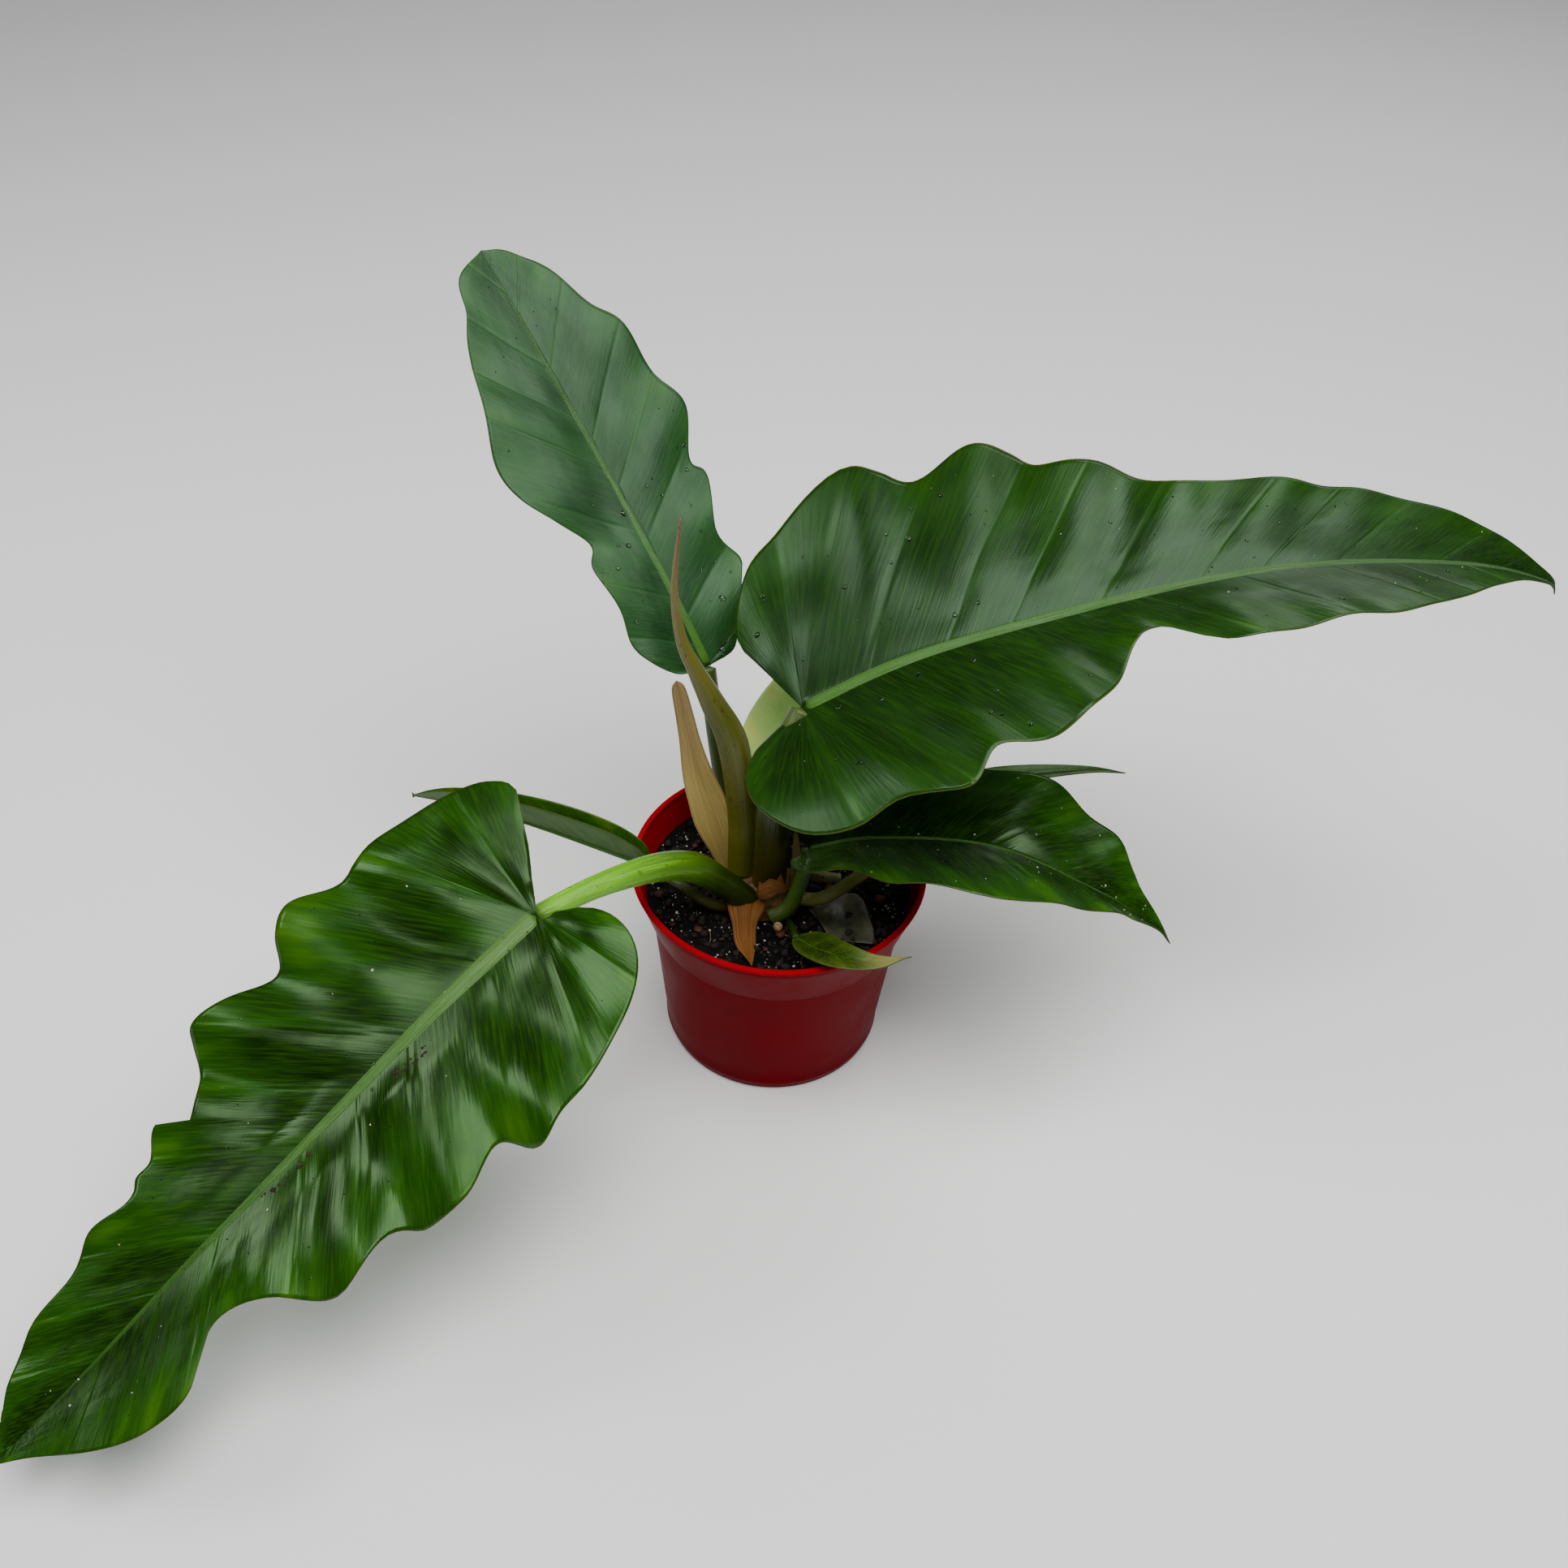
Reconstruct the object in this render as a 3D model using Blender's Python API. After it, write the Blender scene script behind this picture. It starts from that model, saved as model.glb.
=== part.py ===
"""Potted philodendron: a glossy plastic pot, a plug of potting mix, a short crown stem, and the
leaf stalks, blades and dry sheaths that grow from it.

Lengths are in millimetres and are turned into metres when a mesh is made. The origin is the centre
of the pot's underside, X points right and Y points to the back. The plant's heights are written
above the rim of the pot, so that the plant rises and sinks with it.
"""
import math

import bmesh
import bpy
from mathutils import Matrix, Vector

MM = 0.001
UP = Vector((0, 0, 1))

# Pot
POT_HEIGHT = 97.0
RIM_RADIUS = 65.0
COLLAR_HEIGHT = 26.0
COLLAR_FOOT_RADIUS = 56.7
COLLAR_STEP = 0.8
BASE_RADIUS = 49.0
FOOT_HEIGHT = 3.6
LIP_HEIGHT = 1.8
LIP_WIDTH = 2.8
WALL = 1.3
DRAIN_HOLES = 8
DRAIN_RADIUS = 4.0
DRAIN_INSET = 11.0
POT_SEGMENTS = 48

# Potting mix and crown
SOIL_DROP = 13.0
CLEARANCE = 0.3
CROWN_RADIUS = 17.0
CROWN_CENTRE = Vector((-5, -8))
CROWN_RISE = 11.0
CROWN_DEPTH = 14.0

# Leaves
BLADE_THICKNESS = 0.8
FOLD_START = 5.0
RIPPLE_LENGTH = 36.0
RIPPLE_START = 25.0
STALK_SIDES = 10

SOIL_TOP = POT_HEIGHT - SOIL_DROP


def material(name, colour, roughness):
    """A plain Principled material from an sRGB hex colour."""
    channels = [int(colour[i:i + 2], 16) / 255 for i in (1, 3, 5)]
    linear = [c / 12.92 if c <= 0.04045 else ((c + 0.055) / 1.055) ** 2.4 for c in channels]
    made = bpy.data.materials.new(name)
    made.use_nodes = True
    shader = made.node_tree.nodes["Principled BSDF"]
    shader.inputs["Base Color"].default_value = (*linear, 1)
    shader.inputs["Roughness"].default_value = roughness
    return made


def add_object(name, mesh_data, surface, smooth=True):
    """Turn a bmesh in millimetres into a named object in metres."""
    bmesh.ops.scale(mesh_data, vec=(MM, MM, MM), verts=mesh_data.verts)
    bmesh.ops.recalc_face_normals(mesh_data, faces=mesh_data.faces)
    mesh = bpy.data.meshes.new(name)
    mesh_data.to_mesh(mesh)
    mesh_data.free()
    if smooth:
        mesh.shade_smooth()
    made = bpy.data.objects.new(name, mesh)
    made.data.materials.append(surface)
    bpy.context.collection.objects.link(made)
    return made


def cut(target, cutter):
    """Take a hidden cutter out of an object."""
    cutter.hide_render = True
    cutter.display_type = "WIRE"
    cutter.hide_set(True)
    difference = target.modifiers.new(f"clear {cutter.name}", "BOOLEAN")
    difference.operation = "DIFFERENCE"
    difference.solver = "EXACT"
    difference.object = cutter


def lathe(profile, segments):
    """Revolve a closed profile of (radius, height) pairs, whose ends lie on the axis."""
    mesh_data = bmesh.new()
    verts = [mesh_data.verts.new((radius, 0, height)) for radius, height in profile]
    edges = [mesh_data.edges.new(pair) for pair in zip(verts, verts[1:])]
    bmesh.ops.spin(mesh_data, geom=verts + edges, cent=(0, 0, 0), axis=UP, angle=2 * math.pi,
                   steps=segments, use_merge=True)
    bmesh.ops.remove_doubles(mesh_data, verts=mesh_data.verts, dist=0.001)
    return mesh_data


# Pot ------------------------------------------------------------------------------------------

def wall_radius(height):
    """Outer radius of the pot at a height."""
    collar_foot = POT_HEIGHT - COLLAR_HEIGHT
    if height >= collar_foot:
        share = (height - collar_foot) / COLLAR_HEIGHT
        return COLLAR_FOOT_RADIUS + (RIM_RADIUS - COLLAR_FOOT_RADIUS) * share
    body_top = COLLAR_FOOT_RADIUS - COLLAR_STEP
    return BASE_RADIUS + (body_top - BASE_RADIUS) * height / collar_foot


def inner_radius(height):
    """Inner radius of the pot at a height."""
    collar_foot = POT_HEIGHT - COLLAR_HEIGHT
    step_back = COLLAR_STEP if height >= collar_foot else 0
    return wall_radius(height) - step_back - WALL


def make_pot(surface):
    """The pot: drained floor, tapered body, stepped collar and a rolled lip."""
    collar_foot = POT_HEIGHT - COLLAR_HEIGHT
    outside = [(0, 0), (BASE_RADIUS - 1.8, 0), (BASE_RADIUS - 0.5, 0.5), (BASE_RADIUS, 1.8),
               (wall_radius(FOOT_HEIGHT), FOOT_HEIGHT), (wall_radius(FOOT_HEIGHT) + 0.5, FOOT_HEIGHT + 0.5),
               (wall_radius(FOOT_HEIGHT) + 0.6, FOOT_HEIGHT + 2),
               (wall_radius(collar_foot - 1), collar_foot - 1), (COLLAR_FOOT_RADIUS, collar_foot)]
    lip_foot = POT_HEIGHT - LIP_HEIGHT
    lip_out = RIM_RADIUS
    lip_in = RIM_RADIUS - LIP_WIDTH
    lip = [(wall_radius(lip_foot) - 0.3, lip_foot), (lip_out - 0.2, lip_foot + 0.3),
           (lip_out, lip_foot + 0.9), (lip_out - 0.5, POT_HEIGHT - 0.2), (lip_out - 1.1, POT_HEIGHT),
           (lip_in + 0.6, POT_HEIGHT), (lip_in + 0.1, POT_HEIGHT - 0.4)]
    inside = [(inner_radius(lip_foot), lip_foot - 0.4), (inner_radius(collar_foot), collar_foot),
              (inner_radius(collar_foot - 1), collar_foot - 1), (inner_radius(WALL + 3), WALL + 3),
              (inner_radius(WALL) - 3, WALL), (0, WALL)]
    pot = add_object("pot", lathe(outside + lip + inside, POT_SEGMENTS), surface, smooth=False)
    for index in range(DRAIN_HOLES):
        angle = 2 * math.pi * (index + 0.43) / DRAIN_HOLES
        ring = BASE_RADIUS - DRAIN_INSET
        drill = bmesh.new()
        bmesh.ops.create_cone(drill, cap_ends=True, segments=16, radius1=DRAIN_RADIUS,
                              radius2=DRAIN_RADIUS, depth=4 * WALL,
                              matrix=Matrix.Rotation(angle, 4, "Z") @ Matrix.Translation((ring, 0, 0)))
        cut(pot, add_object(f"drain_{index}", drill, surface))
    return pot


# Stalks ---------------------------------------------------------------------------------------

def spline(points, steps):
    """Points along a Catmull-Rom spline through the given points."""
    ends = [2 * points[0] - points[1], *points, 2 * points[-1] - points[-2]]
    found = []
    for before, start, end, after in zip(ends, ends[1:], ends[2:], ends[3:]):
        for step in range(steps):
            t = step / steps
            found.append((2 * start + (end - before) * t
                          + (2 * before - 5 * start + 4 * end - after) * t * t
                          + (3 * start - before - 3 * end + after) * t ** 3) / 2)
    return found + [points[-1]]


def over_rim(*points):
    """Points whose heights are measured from the rim of the pot."""
    return [Vector((x, y, POT_HEIGHT + z)) for x, y, z in points]


def over_soil(*points):
    """Points whose heights are measured from the top of the potting mix."""
    return [Vector((x, y, SOIL_TOP + z)) for x, y, z in points]


def tube_mesh(points, radii, grow=0.0):
    """A round-ended tube along a spline, with radii spread evenly along it."""
    line = spline(points, 4)
    mesh_data = bmesh.new()
    across = (line[1] - line[0]).orthogonal().normalized()
    loops = []
    for index, centre in enumerate(line):
        ahead = (line[min(index + 1, len(line) - 1)] - line[max(index - 1, 0)]).normalized()
        across = (across - ahead * across.dot(ahead)).normalized()
        beside = ahead.cross(across)
        place = index / (len(line) - 1) * (len(radii) - 1)
        low = min(int(place), len(radii) - 2)
        radius = radii[low] + (radii[low + 1] - radii[low]) * (place - low) + grow
        offsets = [(0, 1)]
        if index == 0:
            offsets = [(-0.85 * radius, 0.5), (-0.5 * radius, 0.85), (0, 1)]
        if index == len(line) - 1:
            offsets = [(0, 1), (0.5 * radius, 0.85), (0.85 * radius, 0.5)]
        for slide, share in offsets:
            ring = []
            for side in range(STALK_SIDES):
                turn = 2 * math.pi * side / STALK_SIDES
                arm = across * math.cos(turn) + beside * math.sin(turn)
                ring.append(mesh_data.verts.new(centre + ahead * slide + arm * radius * share))
            loops.append(ring)
    for low_ring, high_ring in zip(loops, loops[1:]):
        for side in range(STALK_SIDES):
            after = (side + 1) % STALK_SIDES
            mesh_data.faces.new((low_ring[side], low_ring[after], high_ring[after], high_ring[side]))
    mesh_data.faces.new(loops[0])
    mesh_data.faces.new(loops[-1])
    return mesh_data


class Stalk:
    """A petiole, spear or stub: a tube and the cutter that gives its neighbours their clearance."""

    def __init__(self, name, points, radii, surface, clear_of=()):
        self.body = add_object(name, tube_mesh(points, radii), surface)
        self.cutter = add_object(f"{name}_clearance", tube_mesh(points, radii, CLEARANCE), surface)
        self.cutter.hide_render = True
        self.cutter.display_type = "WIRE"
        self.cutter.hide_set(True)
        for other in clear_of:
            cut(self.body, other.cutter)


# Blades ---------------------------------------------------------------------------------------

class Midrib:
    """A blade's midrib: a curve with a frame whose sideways axis the blade spreads along."""

    def __init__(self, points, roll):
        self.line = spline(points, 10)
        self.roll = math.radians(roll)
        self.reach = [0.0]
        for start, end in zip(self.line, self.line[1:]):
            self.reach.append(self.reach[-1] + (end - start).length)
        self.length = self.reach[-1]

    def point(self, along):
        """The point at a distance along the midrib."""
        along = min(max(along, 0), self.length)
        index = next(i for i in range(1, len(self.reach)) if self.reach[i] >= along - 1e-6)
        share = (along - self.reach[index - 1]) / (self.reach[index] - self.reach[index - 1])
        return self.line[index - 1].lerp(self.line[index], share)

    def frame(self, along):
        """Point, leftward axis and upward axis, carried straight on behind the joint."""
        inside = min(max(along, 0), self.length)
        low = min(max(inside - 4, 0), self.length - 8)
        ahead = (self.point(low + 8) - self.point(low)).normalized()
        left = UP.cross(ahead).normalized()
        above = ahead.cross(left)
        turned = left * math.cos(self.roll) + above * math.sin(self.roll)
        raised = above * math.cos(self.roll) - left * math.sin(self.roll)
        return self.point(inside) + ahead * (along - inside), turned, raised


def margin(outline, root, angle):
    """How far a vein that leaves the midrib at an angle runs before it meets the outline."""
    ahead = Vector((math.cos(angle), math.sin(angle)))
    beside = Vector((-ahead.y, ahead.x))
    furthest = 0.0
    for start, end in zip(outline, outline[1:]):
        first = (start - Vector((root, 0))).dot(beside)
        second = (end - Vector((root, 0))).dot(beside)
        if first * second <= 0 and first != second:
            crossing = start.lerp(end, first / (first - second))
            furthest = max(furthest, (crossing - Vector((root, 0))).dot(ahead))
    return furthest


def vein_rows(outline, length, fan, rows, spread):
    """Root, angle and length of each vein on one side, from the basal lobe to the tip."""
    first = max(math.atan2(point.y, point.x) for point in outline[:-1])
    side = math.radians(spread)
    found = []
    for index in range(fan):
        angle = first + (side - first) * index / fan
        found.append((0.0, angle, margin(outline, 0.0, angle - 1e-4)))
    for index in range(rows):
        share = index / rows
        angle = side * (1 - 0.6 * share)
        found.append((length * share, angle, margin(outline, length * share, angle)))
    return [*found, (length, 0.0, 0.0)]


def corner(mesh_data, corners, place):
    """The vertex at a place, made once however many rows meet there."""
    key = tuple(round(value, 2) for value in place)
    if key not in corners:
        corners[key] = mesh_data.verts.new(place)
    return corners[key]


def fill(mesh_data, first, second, third, fourth):
    """Two triangles between four corners, or one where two corners are the same."""
    for triangle in ((first, second, third), (first, third, fourth)):
        if len(set(triangle)) == 3:
            mesh_data.faces.new(triangle)


def blade_mesh(midrib, left, right, fold, camber, ripple, fan, rows, across, spread=62):
    """A closed thin leaf blade between two outlines of (along, out) points."""
    sides = []
    for outline, sign in ((left, 1), (right, -1)):
        points = [Vector(point) for point in outline] + [Vector((midrib.length, 0))]
        sides.append((sign, vein_rows(points, midrib.length, fan, rows, spread)))
    tilt = math.radians(fold)
    mesh_data = bmesh.new()
    corners = {}
    sheets = [[], []]
    for index in range(fan + rows + 1):
        lines = [[], []]
        for step in range(-across, across + 1):
            sign, veins = sides[0] if step >= 0 else sides[1]
            root, angle, reach = veins[index]
            share = abs(step) / across
            along = root + reach * share * math.cos(angle)
            out = reach * share * math.sin(angle)
            base, aside, above = midrib.frame(along)
            swing = math.sin(2 * math.pi * (root + 0.4 * out) / RIPPLE_LENGTH + sign)
            wave = ripple * share * min(out / RIPPLE_START, 1) * swing
            height = out * math.sin(tilt) - camber * out * out + wave
            place = base + aside * (sign * out * math.cos(tilt)) + above * height
            lean = tilt * min(out / FOLD_START, 1)
            facing = above * math.cos(lean) - aside * (sign * math.sin(lean))
            for line, lift in zip(lines, (0.5, -0.5)):
                line.append(corner(mesh_data, corners, place + facing * (lift * BLADE_THICKNESS)))
        for sheet, line in zip(sheets, lines):
            sheet.append(line)
    for sheet in sheets:
        for low, high in zip(sheet, sheet[1:]):
            for step in range(2 * across):
                fill(mesh_data, low[step], low[step + 1], high[step + 1], high[step])
    top, bottom = sheets
    for end in (0, -1):
        for step in range(2 * across):
            fill(mesh_data, top[end][step], top[end][step + 1], bottom[end][step + 1], bottom[end][step])
    for index in range(fan + rows):
        for edge in (0, 2 * across):
            fill(mesh_data, top[index][edge], top[index + 1][edge],
                 bottom[index + 1][edge], bottom[index][edge])
    return mesh_data


def make_blade(name, points, left, right, surface, stalks, roll=0, fold=10, camber=0.001,
               ripple=0.0, fan=5, rows=14, across=3):
    """A blade that is cut clear of the stalks that carry and pass it."""
    mesh_data = blade_mesh(Midrib(points, roll), left, right, fold, camber, ripple, fan, rows, across)
    blade = add_object(name, mesh_data, surface)
    for stalk in stalks:
        cut(blade, stalk.cutter)
    return blade


# The plant ------------------------------------------------------------------------------------

for old in list(bpy.data.objects):
    bpy.data.objects.remove(old, do_unlink=True)

RED_PLASTIC = material("red plastic", "#7A0F14", 0.25)
POTTING_MIX = material("potting mix", "#2A211B", 0.95)
CROWN_SKIN = material("crown skin", "#5C4A2A", 0.7)
LEAF_GREEN = material("leaf green", "#2F6B1C", 0.3)
LEAF_GREY = material("leaf grey green", "#4F7A55", 0.45)
LEAF_PALE = material("young leaf green", "#86A63A", 0.4)
STALK_LIME = material("stalk lime", "#7C9A1E", 0.35)
STALK_GREEN = material("stalk dark green", "#2E4D1C", 0.4)
STALK_OLIVE = material("stalk olive", "#6E6A2C", 0.45)
SHEATH_TAN = material("sheath tan", "#A8925A", 0.6)
DRY_BROWN = material("dry brown", "#8A5A2C", 0.8)
DEAD_GREY = material("dead leaf grey", "#57534C", 0.9)
ROOT_WHITE = material("root white", "#D8D2BE", 0.6)

make_pot(RED_PLASTIC)

# Stalks, thickest first: each later one gives way to those it touches.
petiole_C = Stalk("petiole_C", over_rim((-4, -9, -7), (-4, -8, 18), (-4, -7, 43), (0, -1, 68), (6, 8, 81)),
                  (7.6, 7.2, 6.6, 5.6, 5.0), STALK_OLIVE)
spear = Stalk("spear", over_rim((-16, -3, -6), (-16, 1, 11), (-17, 4, 27), (-22, 7, 61), (-31, 10, 80),
                                (-38, 12, 94), (-44, 14, 107), (-47, 16, 124), (-47, 17, 140),
                                (-45, 17, 163)),
              (6.2, 6.3, 6.2, 6.4, 5.1, 3.8, 2.8, 1.8, 1.3, 0.7), STALK_OLIVE, [petiole_C])
petiole_A = Stalk("petiole_A", over_rim((-12, -19, -6), (-25, -21, 8), (-36, -28, 22), (-51, -38, 30),
                                        (-72, -54, 34), (-94, -70, 32)),
                  (6.2, 6.4, 6.8, 6.0, 4.8, 4.2), STALK_LIME, [petiole_C, spear])
petiole_B = Stalk("petiole_B", over_rim((-16, 6, -7), (-25, 20, 20), (-32, 36, 48), (-36, 50, 68)),
                  (4.8, 4.4, 4.0, 3.4), STALK_GREEN, [petiole_C, spear])
petiole_D = Stalk("petiole_D", over_rim((-3, -26, -8), (5, -24, -3), (10, -18, 9), (12, -12, 21)),
                  (3.4, 3.4, 3.2, 2.8), STALK_GREEN, [petiole_C, petiole_A])
petiole_E = Stalk("petiole_E", over_rim((0, 4, -7), (1, 18, 2), (2, 30, 15)),
                  (3.0, 2.6, 2.2), STALK_GREEN, [petiole_C, petiole_B])
petiole_F = Stalk("petiole_F", over_rim((-17, -18, -10), (-28, -22, -6), (-42, -18, 0), (-57, -10, 3)),
                  (2.6, 2.5, 2.3, 2.0), STALK_OLIVE, [petiole_A, spear])
petiole_G = Stalk("petiole_G", over_soil((2, -20, 1), (7, -29, 3), (9, -38, 6)),
                  (1.8, 1.7, 1.5), STALK_GREEN, [petiole_D])
petiole_H = Stalk("petiole_H", over_rim((6, -12, -9), (20, -17, -3), (40, -5, 5), (58, 10, 13),
                                        (70, 22, 19)),
                  (3.2, 3.0, 2.8, 2.6, 2.4), STALK_OLIVE, [petiole_C, petiole_D])
cut_stub = Stalk("cut_stub", over_rim((4, 0, -8), (14, -5, -2), (27, -9, 1)),
                 (2.8, 2.6, 2.4), SHEATH_TAN, [petiole_C, petiole_H])
stalks = [petiole_C, spear, petiole_A, petiole_B, petiole_D, petiole_E, petiole_F, petiole_G,
          petiole_H, cut_stub]

# Large blades. An outline starts beside the joint, rounds the basal lobe and ends at the tip.
make_blade("blade_A",
           over_rim((-94, -70, 32), (-130, -108, 13), (-168, -149, -11), (-208, -193, -35),
                    (-238, -226, -55), (-262, -252, -69)),
           [(-1, 3), (-15, 13), (-20, 28), (-15, 43), (0, 54), (21, 62), (45, 67), (62, 70), (72, 56),
            (92, 63), (110, 59), (121, 50), (148, 52), (165, 33), (184, 24), (205, 36), (223, 34),
            (240, 24), (256, 9)],
           [(-2, 3), (-29, 40), (-26, 56), (-8, 65), (23, 72), (43, 68), (62, 75), (74, 69), (84, 58),
            (102, 64), (120, 66), (127, 54), (140, 42), (163, 38), (194, 36), (231, 26), (256, 11)],
           LEAF_GREEN, [petiole_A, petiole_F], roll=-12, fold=8, ripple=2.5, fan=8, rows=22, across=5)
make_blade("blade_B",
           over_rim((-36, 50, 68), (-53, 66, 94), (-79, 92, 127), (-111, 122, 167), (-130, 141, 190),
                    (-142, 152, 204)),
           [(0, 4), (4, 17), (20, 28), (38, 26), (58, 28), (68, 23), (82, 32), (98, 42), (115, 44),
            (138, 36), (164, 28), (178, 21), (193, 16)],
           [(0, 3), (2, 15), (17, 24), (28, 32), (36, 36), (51, 31), (74, 40), (83, 37), (104, 47),
            (122, 42), (148, 40), (162, 31), (182, 22), (196, 10)],
           LEAF_GREY, [petiole_B, spear], roll=-10, fold=7, ripple=1.5, fan=5, rows=18, across=4)
make_blade("blade_C",
           over_rim((6, 8, 81), (53, 17, 105), (135, 33, 128), (203, 46, 139), (273, 59, 136),
                    (313, 67, 125), (320, 68, 118)),
           [(1, 3), (-4, 20), (-15, 36), (-14, 52), (0, 74), (18, 83), (46, 97), (60, 90), (72, 83),
            (98, 89), (113, 83), (123, 71), (145, 65), (168, 47), (196, 44), (239, 35), (280, 25),
            (312, 12)],
           [(-2, 4), (-20, 9), (-28, 22), (-29, 39), (-21, 56), (-9, 68), (8, 73), (26, 69), (42, 73),
            (56, 77), (69, 63), (92, 64), (108, 57), (121, 45), (132, 30), (146, 21), (168, 38),
            (190, 39), (216, 35), (242, 33), (270, 24), (308, 6)],
           LEAF_GREEN, [petiole_C, spear], roll=14, fold=16, camber=0.0012, ripple=2.5, fan=9,
           rows=24, across=5)
make_blade("blade_D",
           over_rim((12, -12, 21), (40, -15, 32), (87, -23, 39), (130, -31, 26), (157, -36, 12),
                    (166, -38, 3)),
           [(0, 3), (-8, 12), (-4, 24), (12, 34), (40, 40), (74, 39), (97, 40), (114, 35), (130, 27),
            (148, 10), (159, 3)],
           [(0, 3), (-6, 10), (0, 20), (12, 28), (28, 30), (46, 39), (74, 42), (93, 36), (115, 24),
            (140, 9), (157, 2)],
           LEAF_GREEN, [petiole_D, petiole_C, petiole_H], fold=18, ripple=1.5, fan=5, rows=14, across=4)

# Small blades.
make_blade("blade_E", over_rim((2, 30, 15), (4, 42, 38), (8, 52, 63), (12, 62, 84)),
           [(0, 3), (2, 12), (12, 22), (24, 24), (40, 19), (58, 10), (70, 4)],
           [(0, 3), (2, 12), (12, 20), (26, 22), (42, 17), (58, 9), (70, 4)],
           LEAF_PALE, [petiole_E, petiole_B], fold=10, fan=3, rows=8)
make_blade("blade_F", over_rim((-57, -10, 3), (-68, -8, 6), (-107, -1, 15), (-140, 10, 14), (-165, 20, 9)),
           [(0, 3), (4, 12), (16, 18), (36, 19), (62, 17), (88, 11), (104, 5)],
           [(0, 3), (4, 9), (16, 13), (36, 14), (62, 12), (88, 8), (104, 4)],
           LEAF_GREEN, [petiole_F, petiole_A], fold=70, camber=0, fan=4, rows=10)
make_blade("blade_G", over_rim((9, -38, -7), (18, -49, -1), (28, -57, 4), (42, -59, 4), (57, -53, 2)),
           [(0, 2), (5, 7), (14, 9), (28, 7), (42, 4), (54, 1)],
           [(0, 2), (6, 6), (16, 9), (28, 9), (42, 5), (54, 1)],
           LEAF_PALE, [petiole_G], fold=14, fan=3, rows=9, across=2)
make_blade("blade_H",
           over_rim((70, 22, 19), (90, 34, 23), (107, 43, 21), (138, 54, 17), (158, 61, 11)),
           [(0, 3), (-3, 8), (6, 13), (24, 14), (48, 11), (72, 6), (90, 2)],
           [(0, 3), (-3, 8), (6, 13), (24, 14), (48, 11), (72, 6), (90, 2)],
           LEAF_GREEN, [petiole_H], roll=-30, fold=14, fan=4, rows=9)


# Crown ----------------------------------------------------------------------------------------

def crown_mesh(grow=0.0):
    """A squat rounded stem that stands in the potting mix."""
    levels = 9
    low = SOIL_TOP - CROWN_DEPTH - grow
    high = SOIL_TOP + CROWN_RISE + grow
    profile = []
    for level in range(levels + 1):
        turn = math.pi * level / levels
        radius = (CROWN_RADIUS + grow) * math.sin(turn) ** 0.6 if 0 < level < levels else 0
        profile.append((radius, (low + high) / 2 - (high - low) / 2 * math.cos(turn)))
    mesh_data = lathe(profile, 24)
    bmesh.ops.translate(mesh_data, verts=mesh_data.verts, vec=(*CROWN_CENTRE, 0))
    return mesh_data


crown = add_object("crown_stem", crown_mesh(), CROWN_SKIN)
crown_cutter = add_object("crown_clearance", crown_mesh(CLEARANCE), CROWN_SKIN)
for stalk in stalks:
    cut(crown, stalk.cutter)

# Sheaths and scraps: thin pieces that end against the crown, the stalks and the potting mix.
soil_ceiling = bmesh.new()
bmesh.ops.create_cone(soil_ceiling, cap_ends=True, segments=24, radius1=RIM_RADIUS, radius2=RIM_RADIUS,
                      depth=SOIL_TOP + CLEARANCE,
                      matrix=Matrix.Translation((0, 0, (SOIL_TOP + CLEARANCE) / 2)))
soil_cutter = add_object("soil_clearance", soil_ceiling, POTTING_MIX)

sheath_I = make_blade("sheath_I",
                      over_rim((-20, -4, -7), (-26, 1, 11), (-32, 6, 27), (-37, 10, 41), (-43, 16, 66),
                               (-47, 19, 83)),
                      [(-1, 4), (14, 6), (30, 9), (46, 8), (68, 5), (82, 4), (94, 3)],
                      [(-1, 4), (14, 6), (30, 9), (46, 8), (68, 5), (82, 4), (94, 3)],
                      SHEATH_TAN, [spear, petiole_B, petiole_C, petiole_A], roll=-40, fold=24, fan=1, rows=10)
cut(sheath_I, crown_cutter)
soil_edge = inner_radius(SOIL_TOP) - CLEARANCE
dry_sheath = make_blade("dry_sheath",
                        [*over_rim((-13, -22, -1), (-13, -29, -3)), *over_soil((-12, -38, 3)),
                         Vector((-9, 7 - soil_edge, SOIL_TOP + 1.6))],
                        [(0, 5), (8, 7), (20, 6), (26, 3)], [(0, 5), (8, 6), (20, 5), (26, 3)],
                        DRY_BROWN, [petiole_A, petiole_C, petiole_D, petiole_F, petiole_G],
                        fold=-16, fan=1, rows=6, across=2)
cut(dry_sheath, crown_cutter)
cut(dry_sheath, soil_cutter)
collar_sheath = make_blade("collar_sheath",
                           over_rim((-8, -22, 1), (-4, -22, 4), (1, -20, 4), (5, -17, 3)),
                           [(0, 3), (5, 6), (10, 6), (13, 3)], [(0, 2), (5, 3), (10, 3), (13, 2)],
                           DRY_BROWN, [petiole_A, petiole_C, petiole_D, spear], roll=55, fold=0, fan=1,
                           rows=6, across=2)
cut(collar_sheath, crown_cutter)
pale_sheath = make_blade("pale_sheath", over_rim((5, -14, -6), (7, -13, 4), (7, -9, 14), (6, -4, 26)),
                         [(0, 3), (8, 3), (20, 2), (30, 1)], [(0, 3), (8, 3), (20, 2), (30, 1)],
                         SHEATH_TAN, [petiole_C, petiole_D, cut_stub, petiole_H], fold=10, fan=1, rows=7,
                         across=2)
cut(pale_sheath, crown_cutter)

nodule = bmesh.new()
bmesh.ops.create_icosphere(nodule, subdivisions=2, radius=2.0,
                           matrix=Matrix.Translation((1, -30, SOIL_TOP + 4)))
root_nodule = add_object("root_nodule", nodule, ROOT_WHITE)
cut(root_nodule, crown_cutter)
for stalk in (petiole_D, petiole_G, petiole_A):
    cut(root_nodule, stalk.cutter)


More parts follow.
